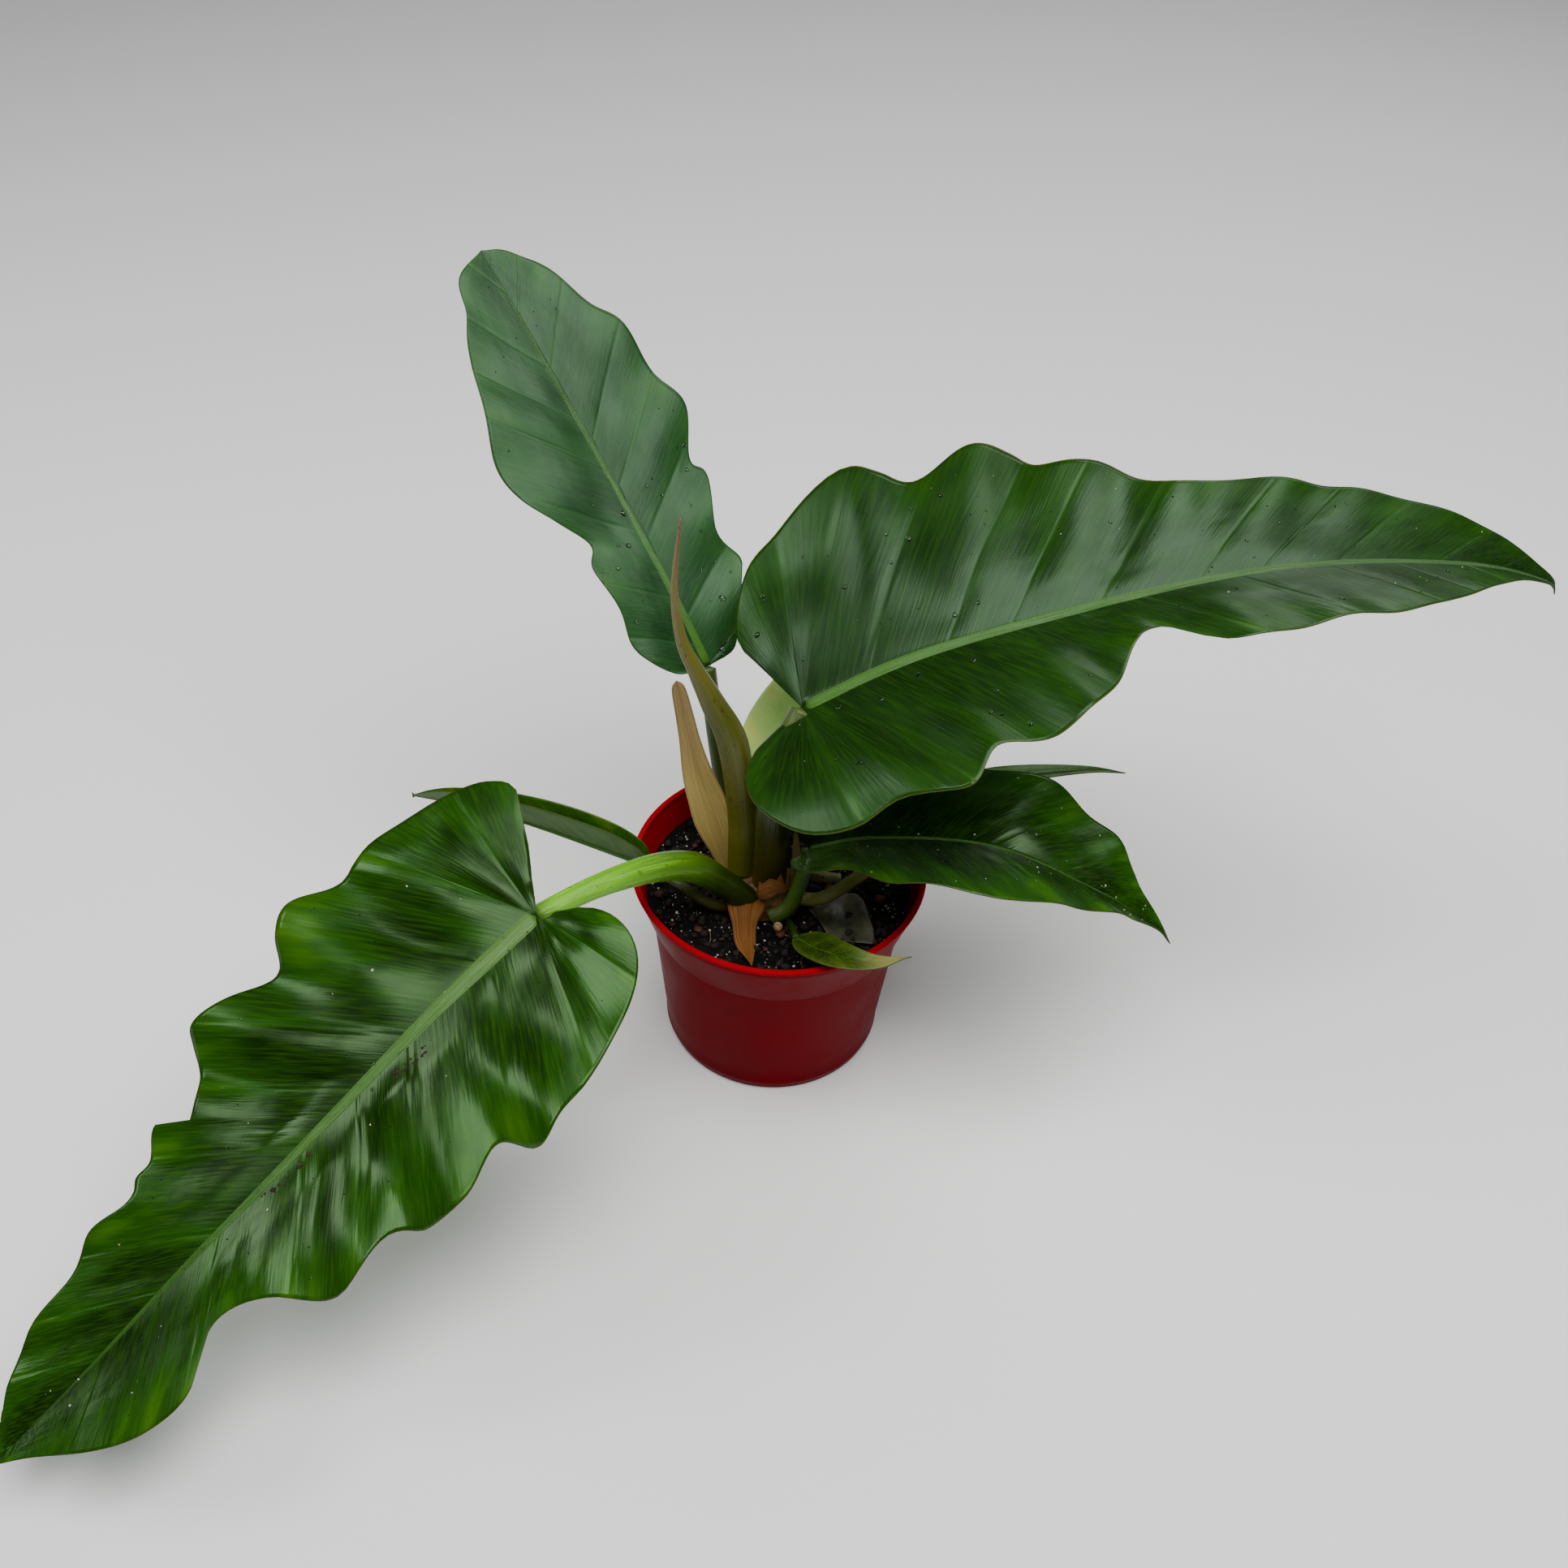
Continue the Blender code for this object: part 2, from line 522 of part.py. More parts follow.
def make_leaf_scrap(surface):
    """A curled triangle of dead leaf that lies on the potting mix at the right."""
    shape = [(-14, 3), (8, 13), (16, -13), (12, -17), (-2, -14), (-8, -5)]
    reach = soil_edge - 26
    heart = Vector((reach * math.cos(math.radians(-35)), reach * math.sin(math.radians(-35))))
    mesh_data = bmesh.new()
    sheets = []
    for lift in (0, BLADE_THICKNESS):
        rim = [mesh_data.verts.new((heart.x + x, heart.y + y, SOIL_TOP + CLEARANCE + lift + 0.08 * abs(x)))
               for x, y in shape]
        centre = mesh_data.verts.new((heart.x, heart.y, SOIL_TOP + CLEARANCE + lift))
        sheets.append((rim, centre))
    for rim, centre in sheets:
        for start, end in zip(rim, rim[1:] + rim[:1]):
            mesh_data.faces.new((start, end, centre))
    (low, _), (high, _) = sheets
    for index in range(len(shape)):
        after = (index + 1) % len(shape)
        mesh_data.faces.new((low[index], low[after], high[after], high[index]))
    return add_object("leaf_scrap", mesh_data, surface, smooth=False)


make_leaf_scrap(DEAD_GREY)


def make_soil(surface):
    """The plug of potting mix: it fills the pot and lets the crown in."""
    low = WALL + CLEARANCE
    collar_foot = POT_HEIGHT - COLLAR_HEIGHT
    heights = [low + 3, collar_foot - 1, collar_foot, SOIL_TOP]
    profile = [(0, low), (inner_radius(low) - 3.4, low)]
    profile += [(inner_radius(height) - CLEARANCE, height) for height in heights]
    profile += [(0, SOIL_TOP)]
    soil = add_object("soil", lathe(profile, POT_SEGMENTS), surface, smooth=False)
    cut(soil, crown_cutter)
    for stalk in (petiole_A, petiole_C, petiole_D, petiole_F, petiole_G, petiole_H):
        cut(soil, stalk.cutter)
    return soil


make_soil(POTTING_MIX)
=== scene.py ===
# %% [markdown]
# # Potted philodendron
# A philodendron in a red nursery pot. The imported model gives the frame: where the pot, the stalks
# and the blades are, and how large they are. This lesson builds the surfaces that the eye sees
# around that frame. It starts with the frame, clears the selection that loading leaves behind, and
# keeps the box of the imported model.

# %% Load the frame
import math
import random

import bmesh
import bpy
import numpy as np
from mathutils import Matrix, Vector, noise


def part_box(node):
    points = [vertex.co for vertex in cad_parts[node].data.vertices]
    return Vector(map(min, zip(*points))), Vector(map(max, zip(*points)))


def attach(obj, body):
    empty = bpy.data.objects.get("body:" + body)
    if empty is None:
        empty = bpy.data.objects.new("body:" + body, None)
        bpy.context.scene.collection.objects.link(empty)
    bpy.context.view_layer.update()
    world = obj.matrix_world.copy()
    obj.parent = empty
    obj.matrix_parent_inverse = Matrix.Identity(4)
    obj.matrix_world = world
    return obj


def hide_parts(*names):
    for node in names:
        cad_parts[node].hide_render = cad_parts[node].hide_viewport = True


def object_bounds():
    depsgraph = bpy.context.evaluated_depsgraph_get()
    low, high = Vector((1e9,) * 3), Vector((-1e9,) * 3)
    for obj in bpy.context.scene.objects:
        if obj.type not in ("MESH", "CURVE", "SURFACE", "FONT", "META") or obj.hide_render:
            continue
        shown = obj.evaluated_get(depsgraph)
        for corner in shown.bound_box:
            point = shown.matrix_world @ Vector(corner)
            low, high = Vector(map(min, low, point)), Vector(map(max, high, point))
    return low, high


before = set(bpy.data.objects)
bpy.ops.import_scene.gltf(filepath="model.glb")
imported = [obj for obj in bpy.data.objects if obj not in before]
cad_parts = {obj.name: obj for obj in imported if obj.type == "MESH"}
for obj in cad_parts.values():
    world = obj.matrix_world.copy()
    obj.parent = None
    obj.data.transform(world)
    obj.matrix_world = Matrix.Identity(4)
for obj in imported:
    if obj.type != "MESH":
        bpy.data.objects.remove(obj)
bpy.ops.object.select_all(action="DESELECT")
model_box = [[float(value) for value in corner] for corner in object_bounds()]
MM = 0.001
POT_HIGH = Vector(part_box("pot")[1])
RIM = POT_HIGH.z / MM
RIM_RADIUS = POT_HIGH.x / MM
SOIL_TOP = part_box("soil")[1][2] / MM
print("rim height", round(RIM, 1), "rim radius", round(RIM_RADIUS, 1), "soil", round(SOIL_TOP, 1))

# %% [markdown]
# ## Camera, floor and light
# The plant is seen from above the height of its leaves, with a slight sideways lean, as by someone
# who bends over it. A leaf with a waxy skin shows its shape by what it mirrors: a broad bright sky
# overhead and a dimmer room around it. So one very large soft light hangs overhead, a small one at
# the left puts bright patches on the long leaf, a weak one behind draws the edges, and the world
# stays fairly dim, because every leaf mirrors it as a grey haze over its green.

# %% Camera
bpy.ops.object.camera_add(location=(0, -0.4926, 0.5829))
camera = bpy.context.object
camera.rotation_euler = (Matrix.Rotation(math.radians(48.25), 3, "X")
                         @ Matrix.Rotation(math.radians(3.35), 3, "Z")).to_euler()
camera.data.lens = 36.09
camera.data.sensor_width = 36
camera.data.clip_start = 0.01
bpy.context.scene.camera = camera
print("camera at", [round(value, 3) for value in camera.location], "lens", camera.data.lens)


# %% Colours and nodes
def linear(colour):
    """An sRGB hex colour as linear values, with full alpha."""
    channels = [int(colour[i:i + 2], 16) / 255 for i in (1, 3, 5)]
    return [c / 12.92 if c <= 0.04045 else ((c + 0.055) / 1.055) ** 2.4 for c in channels] + [1.0]


def add(tree, kind, inputs, out=0, stops=(), **settings):
    """A node with its settings, its inputs set or linked, and its ramp's stops. Gives one output."""
    made = tree.nodes.new("ShaderNode" + kind)
    for name, value in settings.items():
        setattr(made, name, value)
    for name, value in inputs.items():
        if isinstance(value, bpy.types.NodeSocket):
            tree.links.new(value, made.inputs[name])
        else:
            made.inputs[name].default_value = linear(value) if isinstance(value, str) else value
    if stops:
        while len(made.color_ramp.elements) < len(stops):
            made.color_ramp.elements.new(0.5)
        for element, (place, colour) in zip(made.color_ramp.elements, stops):
            element.position, element.color = place, linear(colour)
    return made.outputs[out]


def new_material(name, **uniform):
    """A Principled material: its tree and shader, with the values that are the same all over."""
    made = bpy.data.materials.new(name)
    made.use_nodes = True
    shader = made.node_tree.nodes["Principled BSDF"]
    for socket, value in uniform.items():
        shader.inputs[socket.replace("_", " ")].default_value = value
    return made, made.node_tree, shader


# %% Floor
bpy.ops.mesh.primitive_plane_add(size=12, location=(0, 0, 0))
floor = bpy.context.object
floor.name = "floor"
floor_paint, floor_tree, floor_shader = new_material("matt white floor paint", Roughness=0.9)
floor_shader.inputs["Base Color"].default_value = linear("#F7F7F6")
floor.data.materials.append(floor_paint)
print("floor", floor.dimensions.x, "m")


# %% Lights
def area_light(name, place, aim, size, watts):
    """A soft white light that faces a point."""
    bpy.ops.object.light_add(type="AREA", location=place)
    light = bpy.context.object
    light.name = name
    light.data.shape = "RECTANGLE"
    light.data.size, light.data.size_y = size
    light.data.energy = watts
    light.rotation_euler = (Vector(aim) - Vector(place)).to_track_quat("-Z", "Y").to_euler()


area_light("sky_panel", (0.28, -0.35, 1.7), (0.1, 0, 0.15), (1.6, 1.1), 41)
area_light("left_panel", (-1.14, -0.06, 1.2), (-0.15, -0.1, 0.1), (0.55, 0.55), 8)
area_light("back_panel", (0.9, 1.5, 1.6), (0, 0, 0.2), (1.2, 0.6), 9)
world = bpy.data.worlds.new("dim room")
bpy.context.scene.world = world
world.use_nodes = True
world.node_tree.nodes["Background"].inputs[0].default_value = linear("#F2F5F8")
world.node_tree.nodes["Background"].inputs[1].default_value = 0.1

# %% [markdown]
# ## A grid that becomes any surface
# Leaves, stalks, sheaths and soil are all sheets: some stay flat, and some are rolled into a tube.
# So each of them starts as the same primitive, a flat grid, whose points are then moved to where
# a formula puts them. The grid keeps a UV map, which here holds real distances over the surface,
# so that veins and streaks can follow a leaf however it bends. A filled outline or a bevelled curve
# could give the same shapes, but not that map. Where a row of points falls on one spot, as at a tip,
# the points are merged.


# %% Grid helper
EDGE_GAP = 0.4
BOX_LOW, BOX_HIGH = np.array(model_box)[:, :2] / MM + [[EDGE_GAP], [-EDGE_GAP]]


def grid_piece(name, across, along, points, skins, flow=None):
    """A grid of (along+1) rows of (across+1) points in millimetres, with merged doubles."""
    bpy.ops.mesh.primitive_grid_add(x_subdivisions=across, y_subdivisions=along, size=2)
    piece = bpy.context.object
    piece.name = name
    mesh = piece.data
    mesh.name = name
    points = np.array(points, float)
    points[..., :2] = np.clip(points[..., :2], BOX_LOW, BOX_HIGH)
    mesh.vertices.foreach_set("co", (points * MM).ravel())
    if flow is not None:
        corner = np.zeros(len(mesh.loops), int)
        mesh.loops.foreach_get("vertex_index", corner)
        mesh.uv_layers[0].data.foreach_set("uv", np.asarray(flow, float).reshape(-1, 2)[corner].ravel())
    for skin in skins:
        mesh.materials.append(skin)
    bpy.ops.object.mode_set(mode="EDIT")
    bpy.ops.mesh.select_all(action="SELECT")
    bpy.ops.mesh.remove_doubles(threshold=0.00002)
    bpy.ops.mesh.normals_make_consistent(inside=False)
    bpy.ops.object.mode_set(mode="OBJECT")
    bpy.ops.object.shade_smooth()
    bpy.ops.object.select_all(action="DESELECT")
    return piece


# %% Finish a piece
def settle(piece, *nodes, slot=None):
    """Ride a finished piece on the plant's one body, in place of the nodes it stands for."""
    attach(piece, "root")
    if nodes:
        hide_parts(*nodes)
    return piece


def modify(piece, kind, **settings):
    """Add a modifier and apply it."""
    bpy.context.view_layer.objects.active = piece
    piece.select_set(True)
    bpy.ops.object.modifier_add(type=kind)
    made = piece.modifiers[-1]
    for name, value in settings.items():
        setattr(made, name, value)
    bpy.ops.object.modifier_apply(modifier=made.name)
    bpy.ops.object.select_all(action="DESELECT")


# %% Curves and heights
SPLINE_STEPS = 24


def spline(points, steps=SPLINE_STEPS):
    """Points along a smooth curve through the given points."""
    points = np.asarray(points, float)
    ends = np.vstack([2 * points[0] - points[1], points, 2 * points[-1] - points[-2]])
    t = (np.arange(steps) / steps)[:, None]
    found = []
    for before, start, end, after in zip(ends, ends[1:], ends[2:], ends[3:]):
        found.append((2 * start + (end - before) * t + (2 * before - 5 * start + 4 * end - after) * t ** 2
                      + (3 * start - before - 3 * end + after) * t ** 3) / 2)
    return np.vstack([*found, points[-1:]])


def over_rim(*points):
    """Points whose heights are measured from the rim of the pot, in millimetres."""
    return np.array([(x, y, RIM + z) for x, y, z in points], float)


def over_soil(*points):
    """Points whose heights are measured from the top of the potting mix, in millimetres."""
    return np.array([(x, y, SOIL_TOP + z) for x, y, z in points], float)


def unit(vectors):
    """Vectors scaled to length one."""
    return vectors / np.linalg.norm(vectors, axis=-1, keepdims=True)

# %% [markdown]
# ## The leaf blade
# A philodendron blade is a thin waxy sheet that hangs on a stout midrib. Side veins leave the
# midrib in pairs and curve towards the tip, and the sheet swells up between them like a quilt.
# Between the side veins run hundreds of very fine parallel ones. The blade is made as the plant
# makes it: the midrib is a curve in space, and each row of the grid is a vein that runs out from
# it until it meets the outline. The two lobes behind the stalk are a fan of veins from one point.
# A flat leaf could be cut out and bent with a lattice, but its quilting wouldn't follow the veins.


# %% Midrib curve and its frame
class Midrib:
    """A curve with a sideways and an upward axis, carried straight on behind the joint."""

    def __init__(self, points, roll=0.0):
        self.line = spline(points)
        self.roll = math.radians(roll)
        self.reach = np.concatenate([[0], np.cumsum(np.linalg.norm(np.diff(self.line, axis=0), axis=1))])
        self.length = float(self.reach[-1])

    def point(self, along):
        """Points at distances along the curve."""
        return np.stack([np.interp(along, self.reach, self.line[:, axis]) for axis in range(3)], -1)

    def frame(self, along):
        """Points, directions, leftward axes and upward axes."""
        inside = np.clip(along, 0, self.length)
        low = np.clip(inside - 4, 0, self.length - 8)
        ahead = unit(self.point(low + 8) - self.point(low))
        left = unit(np.cross((0, 0, 1), ahead))
        above = np.cross(ahead, left)
        turned = left * math.cos(self.roll) + above * math.sin(self.roll)
        raised = above * math.cos(self.roll) - left * math.sin(self.roll)
        return self.point(inside) + ahead * (along - inside)[..., None], ahead, turned, raised


# %% Veins
def margin(outline, root, angle):
    """How far a vein that leaves the midrib at an angle runs before it meets the outline."""
    ahead = np.array((math.cos(angle), math.sin(angle)))
    beside = np.array((-ahead[1], ahead[0]))
    offset = outline - np.array((root, 0))
    side = offset @ beside
    first, second = side[:-1], side[1:]
    hits = (first * second <= 0) & (first != second)
    if not hits.any():
        return 0.0
    share = (first[hits] / (first[hits] - second[hits]))[:, None]
    crossing = offset[:-1][hits] * (1 - share) + offset[1:][hits] * share
    return float(max((crossing @ ahead).max(), 0.0))


VEIN_SPREAD = math.radians(62)
FAN_PACE = 45


def vein_rows(outline, length, fan, rows):
    """Root, angle, length and flow of each vein on one side, from the basal lobe to the tip."""
    first = float(np.arctan2(outline[:-1, 1], outline[:-1, 0]).max())
    found = []
    for index in range(fan):
        angle = first + (VEIN_SPREAD - first) * index / fan
        found.append((0.0, angle, margin(outline, 0.0, angle - 1e-4), (VEIN_SPREAD - angle) * FAN_PACE))
    for index in range(rows):
        share = index / rows
        angle = VEIN_SPREAD * (1 - 0.6 * share)
        found.append((length * share, angle, margin(outline, length * share, angle), length * share))
    return np.array([*found, (length, 0.0, 0.0, length)])


# %% Blade surface
RIPPLE_LENGTH, RIPPLE_START = 36, 25
UNEVEN_VEINS = 0.16


class Blade:
    """The surface of one leaf blade, in millimetres. A right outline of None is as the left one."""

    def __init__(self, points, left, right, roll=0.0, fold=10.0, camber=0.001, ripple=0.0,
                 quilt=0.0, vein_gap=26.0, calm_tip=0.0, seed=1):
        self.midrib = Midrib(points, roll)
        self.fold = math.radians(fold)
        self.camber, self.ripple, self.quilt, self.vein_gap = camber, ripple, quilt, vein_gap
        self.calm_tip = calm_tip
        self.phase = np.random.default_rng(seed).uniform(0, 2 * math.pi, 8)
        self.outlines = {}
        for outline, sign in ((left, 1), (right or left, -1)):
            ends = [*outline, (self.midrib.length, 0)]
            smooth = spline(ends, 6)
            smooth[:, 1] = np.maximum(smooth[:, 1], 0)
            self.outlines[sign] = smooth

    def between(self, drift, sign):
        """Distance along the midrib counted in side veins that aren't quite evenly spaced."""
        phase = self.phase[0 if sign > 0 else 4]
        sway = np.sin(drift / self.vein_gap * 1.9 + phase)
        return drift + UNEVEN_VEINS * self.vein_gap * sway + 4 * phase

    def place(self, along, out, drift, share, sign):
        """Points on the surface: out is the distance from the midrib, drift where the vein starts."""
        base, _, aside, above = self.midrib.frame(along)
        start = np.minimum(out / RIPPLE_START, 1)
        swing = np.sin(2 * math.pi * (np.maximum(drift, 0) + 0.4 * out) / RIPPLE_LENGTH + sign)
        wave = self.ripple * share * start * swing
        phase = self.phase[:4] if sign > 0 else self.phase[4:]
        flow = self.between(drift, sign)
        cell = np.abs(np.sin(math.pi * flow / self.vein_gap))
        calm = 1 - 0.85 * np.clip((along / self.midrib.length - 0.4) / 0.4, 0, 1) * self.calm_tip
        plump = np.clip(share * 4, 0, 1) * (1 - 0.85 * share ** 2) * np.minimum(out / 12, 1) * calm
        swell = 0.7 * (cell - 0.6) * plump
        for size, height, turn, shift in ((75, 0.75, 0.5, phase[1]), (52, 0.24, 1.3, phase[2])):
            across = along * math.cos(turn) + sign * out * math.sin(turn)
            swell = swell + height * np.sin(2 * math.pi * across / size + shift) * plump
        frill = 0.3 * self.ripple * calm * np.sin(flow / 5.2 + phase[3]) * share ** 3 * start
        swell = swell * self.quilt + frill
        wave = wave * calm
        height = out * math.sin(self.fold) - self.camber * out ** 2 + wave + swell
        lifted = above * np.asarray(height)[..., None]
        return base + aside * (sign * out * math.cos(self.fold))[..., None] + lifted

    def sheet(self, fan, rows, across):
        """Points and vein-following coordinates of a grid over the whole blade."""
        lines = {sign: vein_rows(outline, self.midrib.length, fan, rows)
                 for sign, outline in self.outlines.items()}
        steps = np.arange(-across, across + 1)
        points = np.zeros((fan + rows + 1, len(steps), 3))
        flow = np.zeros((fan + rows + 1, len(steps), 2))
        for column, step in enumerate(steps):
            sign = 1 if step >= 0 else -1
            root, angle, reach, drift = lines[sign].T
            share = np.full(len(root), abs(step) / across) ** 0.9
            along = root + reach * share * np.cos(angle)
            out = reach * share * np.sin(angle)
            points[:, column] = self.place(along, out, drift, share, sign)
            flow[:, column, 0] = self.between(drift, sign) * MM
            flow[:, column, 1] = sign * share
        return points, flow


# %% Make a blade
BLADE_THICKNESS = 0.5


def make_blade(name, blade, skins, slot, fan, rows, across):
    """A blade as a thin closed sheet with an upper and a lower skin."""
    points, flow = blade.sheet(fan, rows, across)
    blade.points = points
    piece = grid_piece(name, 2 * across, fan + rows, points, skins, flow)
    modify(piece, "SOLIDIFY", thickness=BLADE_THICKNESS * MM, offset=0, use_even_offset=True,
           material_offset=1, material_offset_rim=2)
    return settle(piece, name, slot=slot)


# %% Stalk curve
class Stalk(Midrib):
    """A curve whose sideways axis is carried along it without twisting."""

    def frame(self, along):
        """Points, directions, sideways axes and upward axes."""
        line = self.point(along)
        ahead = unit(np.gradient(line, axis=0))
        aside = np.zeros_like(line)
        held = np.cross((0.0, 0.3, 1.0), ahead[0])
        for index, direction in enumerate(ahead):
            held = held - direction * (held @ direction)
            held = held / np.linalg.norm(held)
            aside[index] = held
        return line, ahead, aside, np.cross(ahead, aside)


# %% Tube
def tube(name, curve, widths, skin, slot, around=24, count=80, flat=1.0, deep=1.0, ridges=(),
         nodes=()):
    """A closed round-ended tube along a curve, made by rolling the grid until its edges meet.

    flat and deep squash its upper and lower half, and a ridge is (angle, width, height) in shares.
    """
    share = np.linspace(0, 1, count + 1)
    ends = np.minimum(np.sqrt(np.clip(share / 0.012, 0, 1)), np.sqrt(np.clip((1 - share) / 0.012, 0, 1)))
    marks = curve.reach[::SPLINE_STEPS] / curve.length
    if len(marks) != len(widths):
        marks = np.linspace(0, 1, len(widths))
    radius = np.interp(share, marks, widths) * ends
    centre, _, aside, above = curve.frame(share * curve.length)
    turn = np.linspace(0, 2 * math.pi, around + 1)
    form = np.ones(around + 1)
    for angle, width, height in ridges:
        gap = np.angle(np.exp(1j * (turn - math.radians(angle))))
        form = form + height * np.exp(-(gap / width) ** 2)
    rise = np.where(np.sin(turn) > 0, flat, deep) * np.sin(turn) * form
    points = (centre[:, None] + (radius[:, None] * (np.cos(turn) * form))[..., None] * aside[:, None]
              + (radius[:, None] * rise)[..., None] * above[:, None])
    flow = np.stack(np.broadcast_arrays((turn / (2 * math.pi))[None, :], share[:, None]), -1)
    return settle(grid_piece(name, around, count, points, [skin], flow), *nodes, slot=slot)

# %% [markdown]
# ## Leaf skin
# The upper skin is a clear waxy cuticle over deep green tissue. It mirrors the sky softly, and the
# tissue under it is streaked with yellow green along the veins and near the margin. The side veins
# lie in shallow grooves, and very fine parallel veins run between them. The first UV coordinate
# counts real distance across the veins, and the second is the share of the way from the midrib to
# the margin, so a noise that is stretched along the second one makes streaks that follow the veins.
# A painted picture could do this too, but it would blur from near and would have to be carried along.


# %% Streaks and skins
SMOOTH = {"interpolation_type": "SMOOTHSTEP"}
COLOURS = {"data_type": "RGBA"}


def per(size):
    """The scale of a pattern whose features are a size in millimetres."""
    return 1 / (size * MM)


def streaks(tree, flow, *rows):
    """Noises that are stretched along a surface. Each row is (scale on each axis, detail, roughness)."""
    found = []
    for stretch, detail, rough in rows:
        vector = add(tree, "VectorMath", {0: flow, 1: stretch}, operation="MULTIPLY")
        found.append(add(tree, "TexNoise", {"Vector": vector, "Scale": 1.0, "Detail": detail,
                                            "Roughness": rough}))
    return found


def dress(tree, shader, colour, height, distance):
    """Give a shader its colour, and a bump of a height in metres."""
    tree.links.new(colour, shader.inputs["Base Color"])
    bump = add(tree, "Bump", {"Height": height, "Distance": distance})
    tree.links.new(bump, shader.inputs["Normal"])


# %% Leaf material
def leaf_skin(name, stops, vein, edge, shine, gap, mirror=0.26, sheen="#C8FFB8", tip=None):
    """A waxy upper leaf skin. stops colour its streaks, from deep tissue to sunlit margin.

    gap is the distance between side veins in millimetres, and tip is (from, to, colour) along x.
    """
    made, tree, shader = new_material(name, Specular_IOR_Level=mirror, Specular_Tint=linear(sheen))
    flow = add(tree, "UVMap", {})
    across = add(tree, "SeparateXYZ", {0: flow}, 0)
    side = add(tree, "SeparateXYZ", {0: flow}, 1)
    share = add(tree, "Math", {0: side}, operation="ABSOLUTE")
    apart = add(tree, "Math", {0: across, 1: gap * MM / 2}, operation="PINGPONG")
    place = add(tree, "TexCoord", {}, "Object")

    # Streaks of tissue are about 14 mm wide. Fine veins lie about half a millimetre apart, too fine
    # to show, so they are drawn at 1.1 mm. Wax wears in 33 mm patches, and wrinkles are 12.5 mm.
    streak, fine, wear, wrinkle = streaks(
        tree, flow, ((per(14.29), 1.1, 0), 4.0, 0.5), ((per(1.111), 5, 0), 1.0, 0.5),
        ((per(33.33), 3, 0), 2.0, 0.5), ((per(12.5), 7, 0), 1.0, 0.5))

    # Tissue: streaks along the veins, broad patches, and light near the veins and the margin.
    patch = add(tree, "TexNoise", {"Vector": place, "Scale": per(41.67), "Detail": 2.0})
    glow = add(tree, "MapRange", {0: apart, 1: 0.0, 2: 0.007, 3: 0.08, 4: 0.0}, **SMOOTH)
    light = add(tree, "MapRange", {0: share, 1: 0.35, 2: 1.0, 3: 0.0, 4: 0.2}, **SMOOTH)
    mixed = add(tree, "Math", {0: patch, 1: 0.4, 2: glow}, operation="MULTIPLY_ADD")
    mixed = add(tree, "Math", {0: streak, 1: 0.75, 2: mixed}, operation="MULTIPLY_ADD")
    mixed = add(tree, "Math", {0: mixed, 1: light}, operation="ADD")
    colour = add(tree, "ValToRGB", {0: mixed}, stops=stops)

    # Fine parallel veins, side veins that fade towards the margin, and the edge.
    shown = add(tree, "MapRange", {0: fine, 1: 0.35, 2: 0.75, 3: 0.0, 4: 0.22}, **SMOOTH)
    colour = add(tree, "Mix", {0: shown, 6: colour, 7: stops[-1][1]}, 2, **COLOURS)
    line = add(tree, "MapRange", {0: apart, 1: 0.0002, 2: 0.001, 3: 0.18, 4: 0.0}, **SMOOTH)
    fade = add(tree, "MapRange", {0: share, 1: 0.75, 2: 0.98, 3: 1.0, 4: 0.0}, **SMOOTH)
    line = add(tree, "Math", {0: line, 1: fade}, operation="MULTIPLY")
    colour = add(tree, "Mix", {0: line, 6: colour, 7: vein}, 2, **COLOURS)
    rim = add(tree, "MapRange", {0: share, 1: 0.991, 2: 0.998}, **SMOOTH)
    colour = add(tree, "Mix", {0: rim, 6: colour, 7: edge}, 2, **COLOURS)
    if tip:
        x_place = add(tree, "SeparateXYZ", {0: place}, 0)
        dried = add(tree, "MapRange", {0: x_place, 1: tip[0], 2: tip[1]}, **SMOOTH)
        colour = add(tree, "Mix", {0: dried, 6: colour, 7: tip[2]}, 2, **COLOURS)
    tree.links.new(colour, shader.inputs["Base Color"])

    # Gloss that wanders, and bumps: soft wrinkles, grooves over the side veins, fine veins.
    gloss = add(tree, "MapRange", {0: wear, 1: 0.3, 2: 0.7, 3: shine[0], 4: shine[1]}, **SMOOTH)
    tree.links.new(gloss, shader.inputs["Roughness"])
    bump = add(tree, "Bump", {"Height": wrinkle, "Distance": 0.0001})
    deep = add(tree, "MapRange", {0: apart, 1: 0.0, 2: 0.002}, **SMOOTH)
    bump = add(tree, "Bump", {"Height": deep, "Distance": 0.00012, "Normal": bump})
    bump = add(tree, "Bump", {"Height": fine, "Distance": 0.00007, "Normal": bump})
    tree.links.new(bump, shader.inputs["Normal"])
    return made


# %% Underside material
def underside(name, colour, dark):
    """The matt underside of a leaf, netted with raised veins."""
    made, tree, shader = new_material(name, Specular_IOR_Level=0.3, Roughness=0.55)
    flow = add(tree, "UVMap", {})
    streak, veins = streaks(tree, flow, ((per(4.167), 2, 0), 4.0, 0.5), ((per(1.25), 5, 0), 1.0, 0.5))
    tissue = add(tree, "ValToRGB", {0: streak}, stops=[(0.3, dark), (0.7, colour)])
    dress(tree, shader, tissue, veins, 0.00015)
    return made
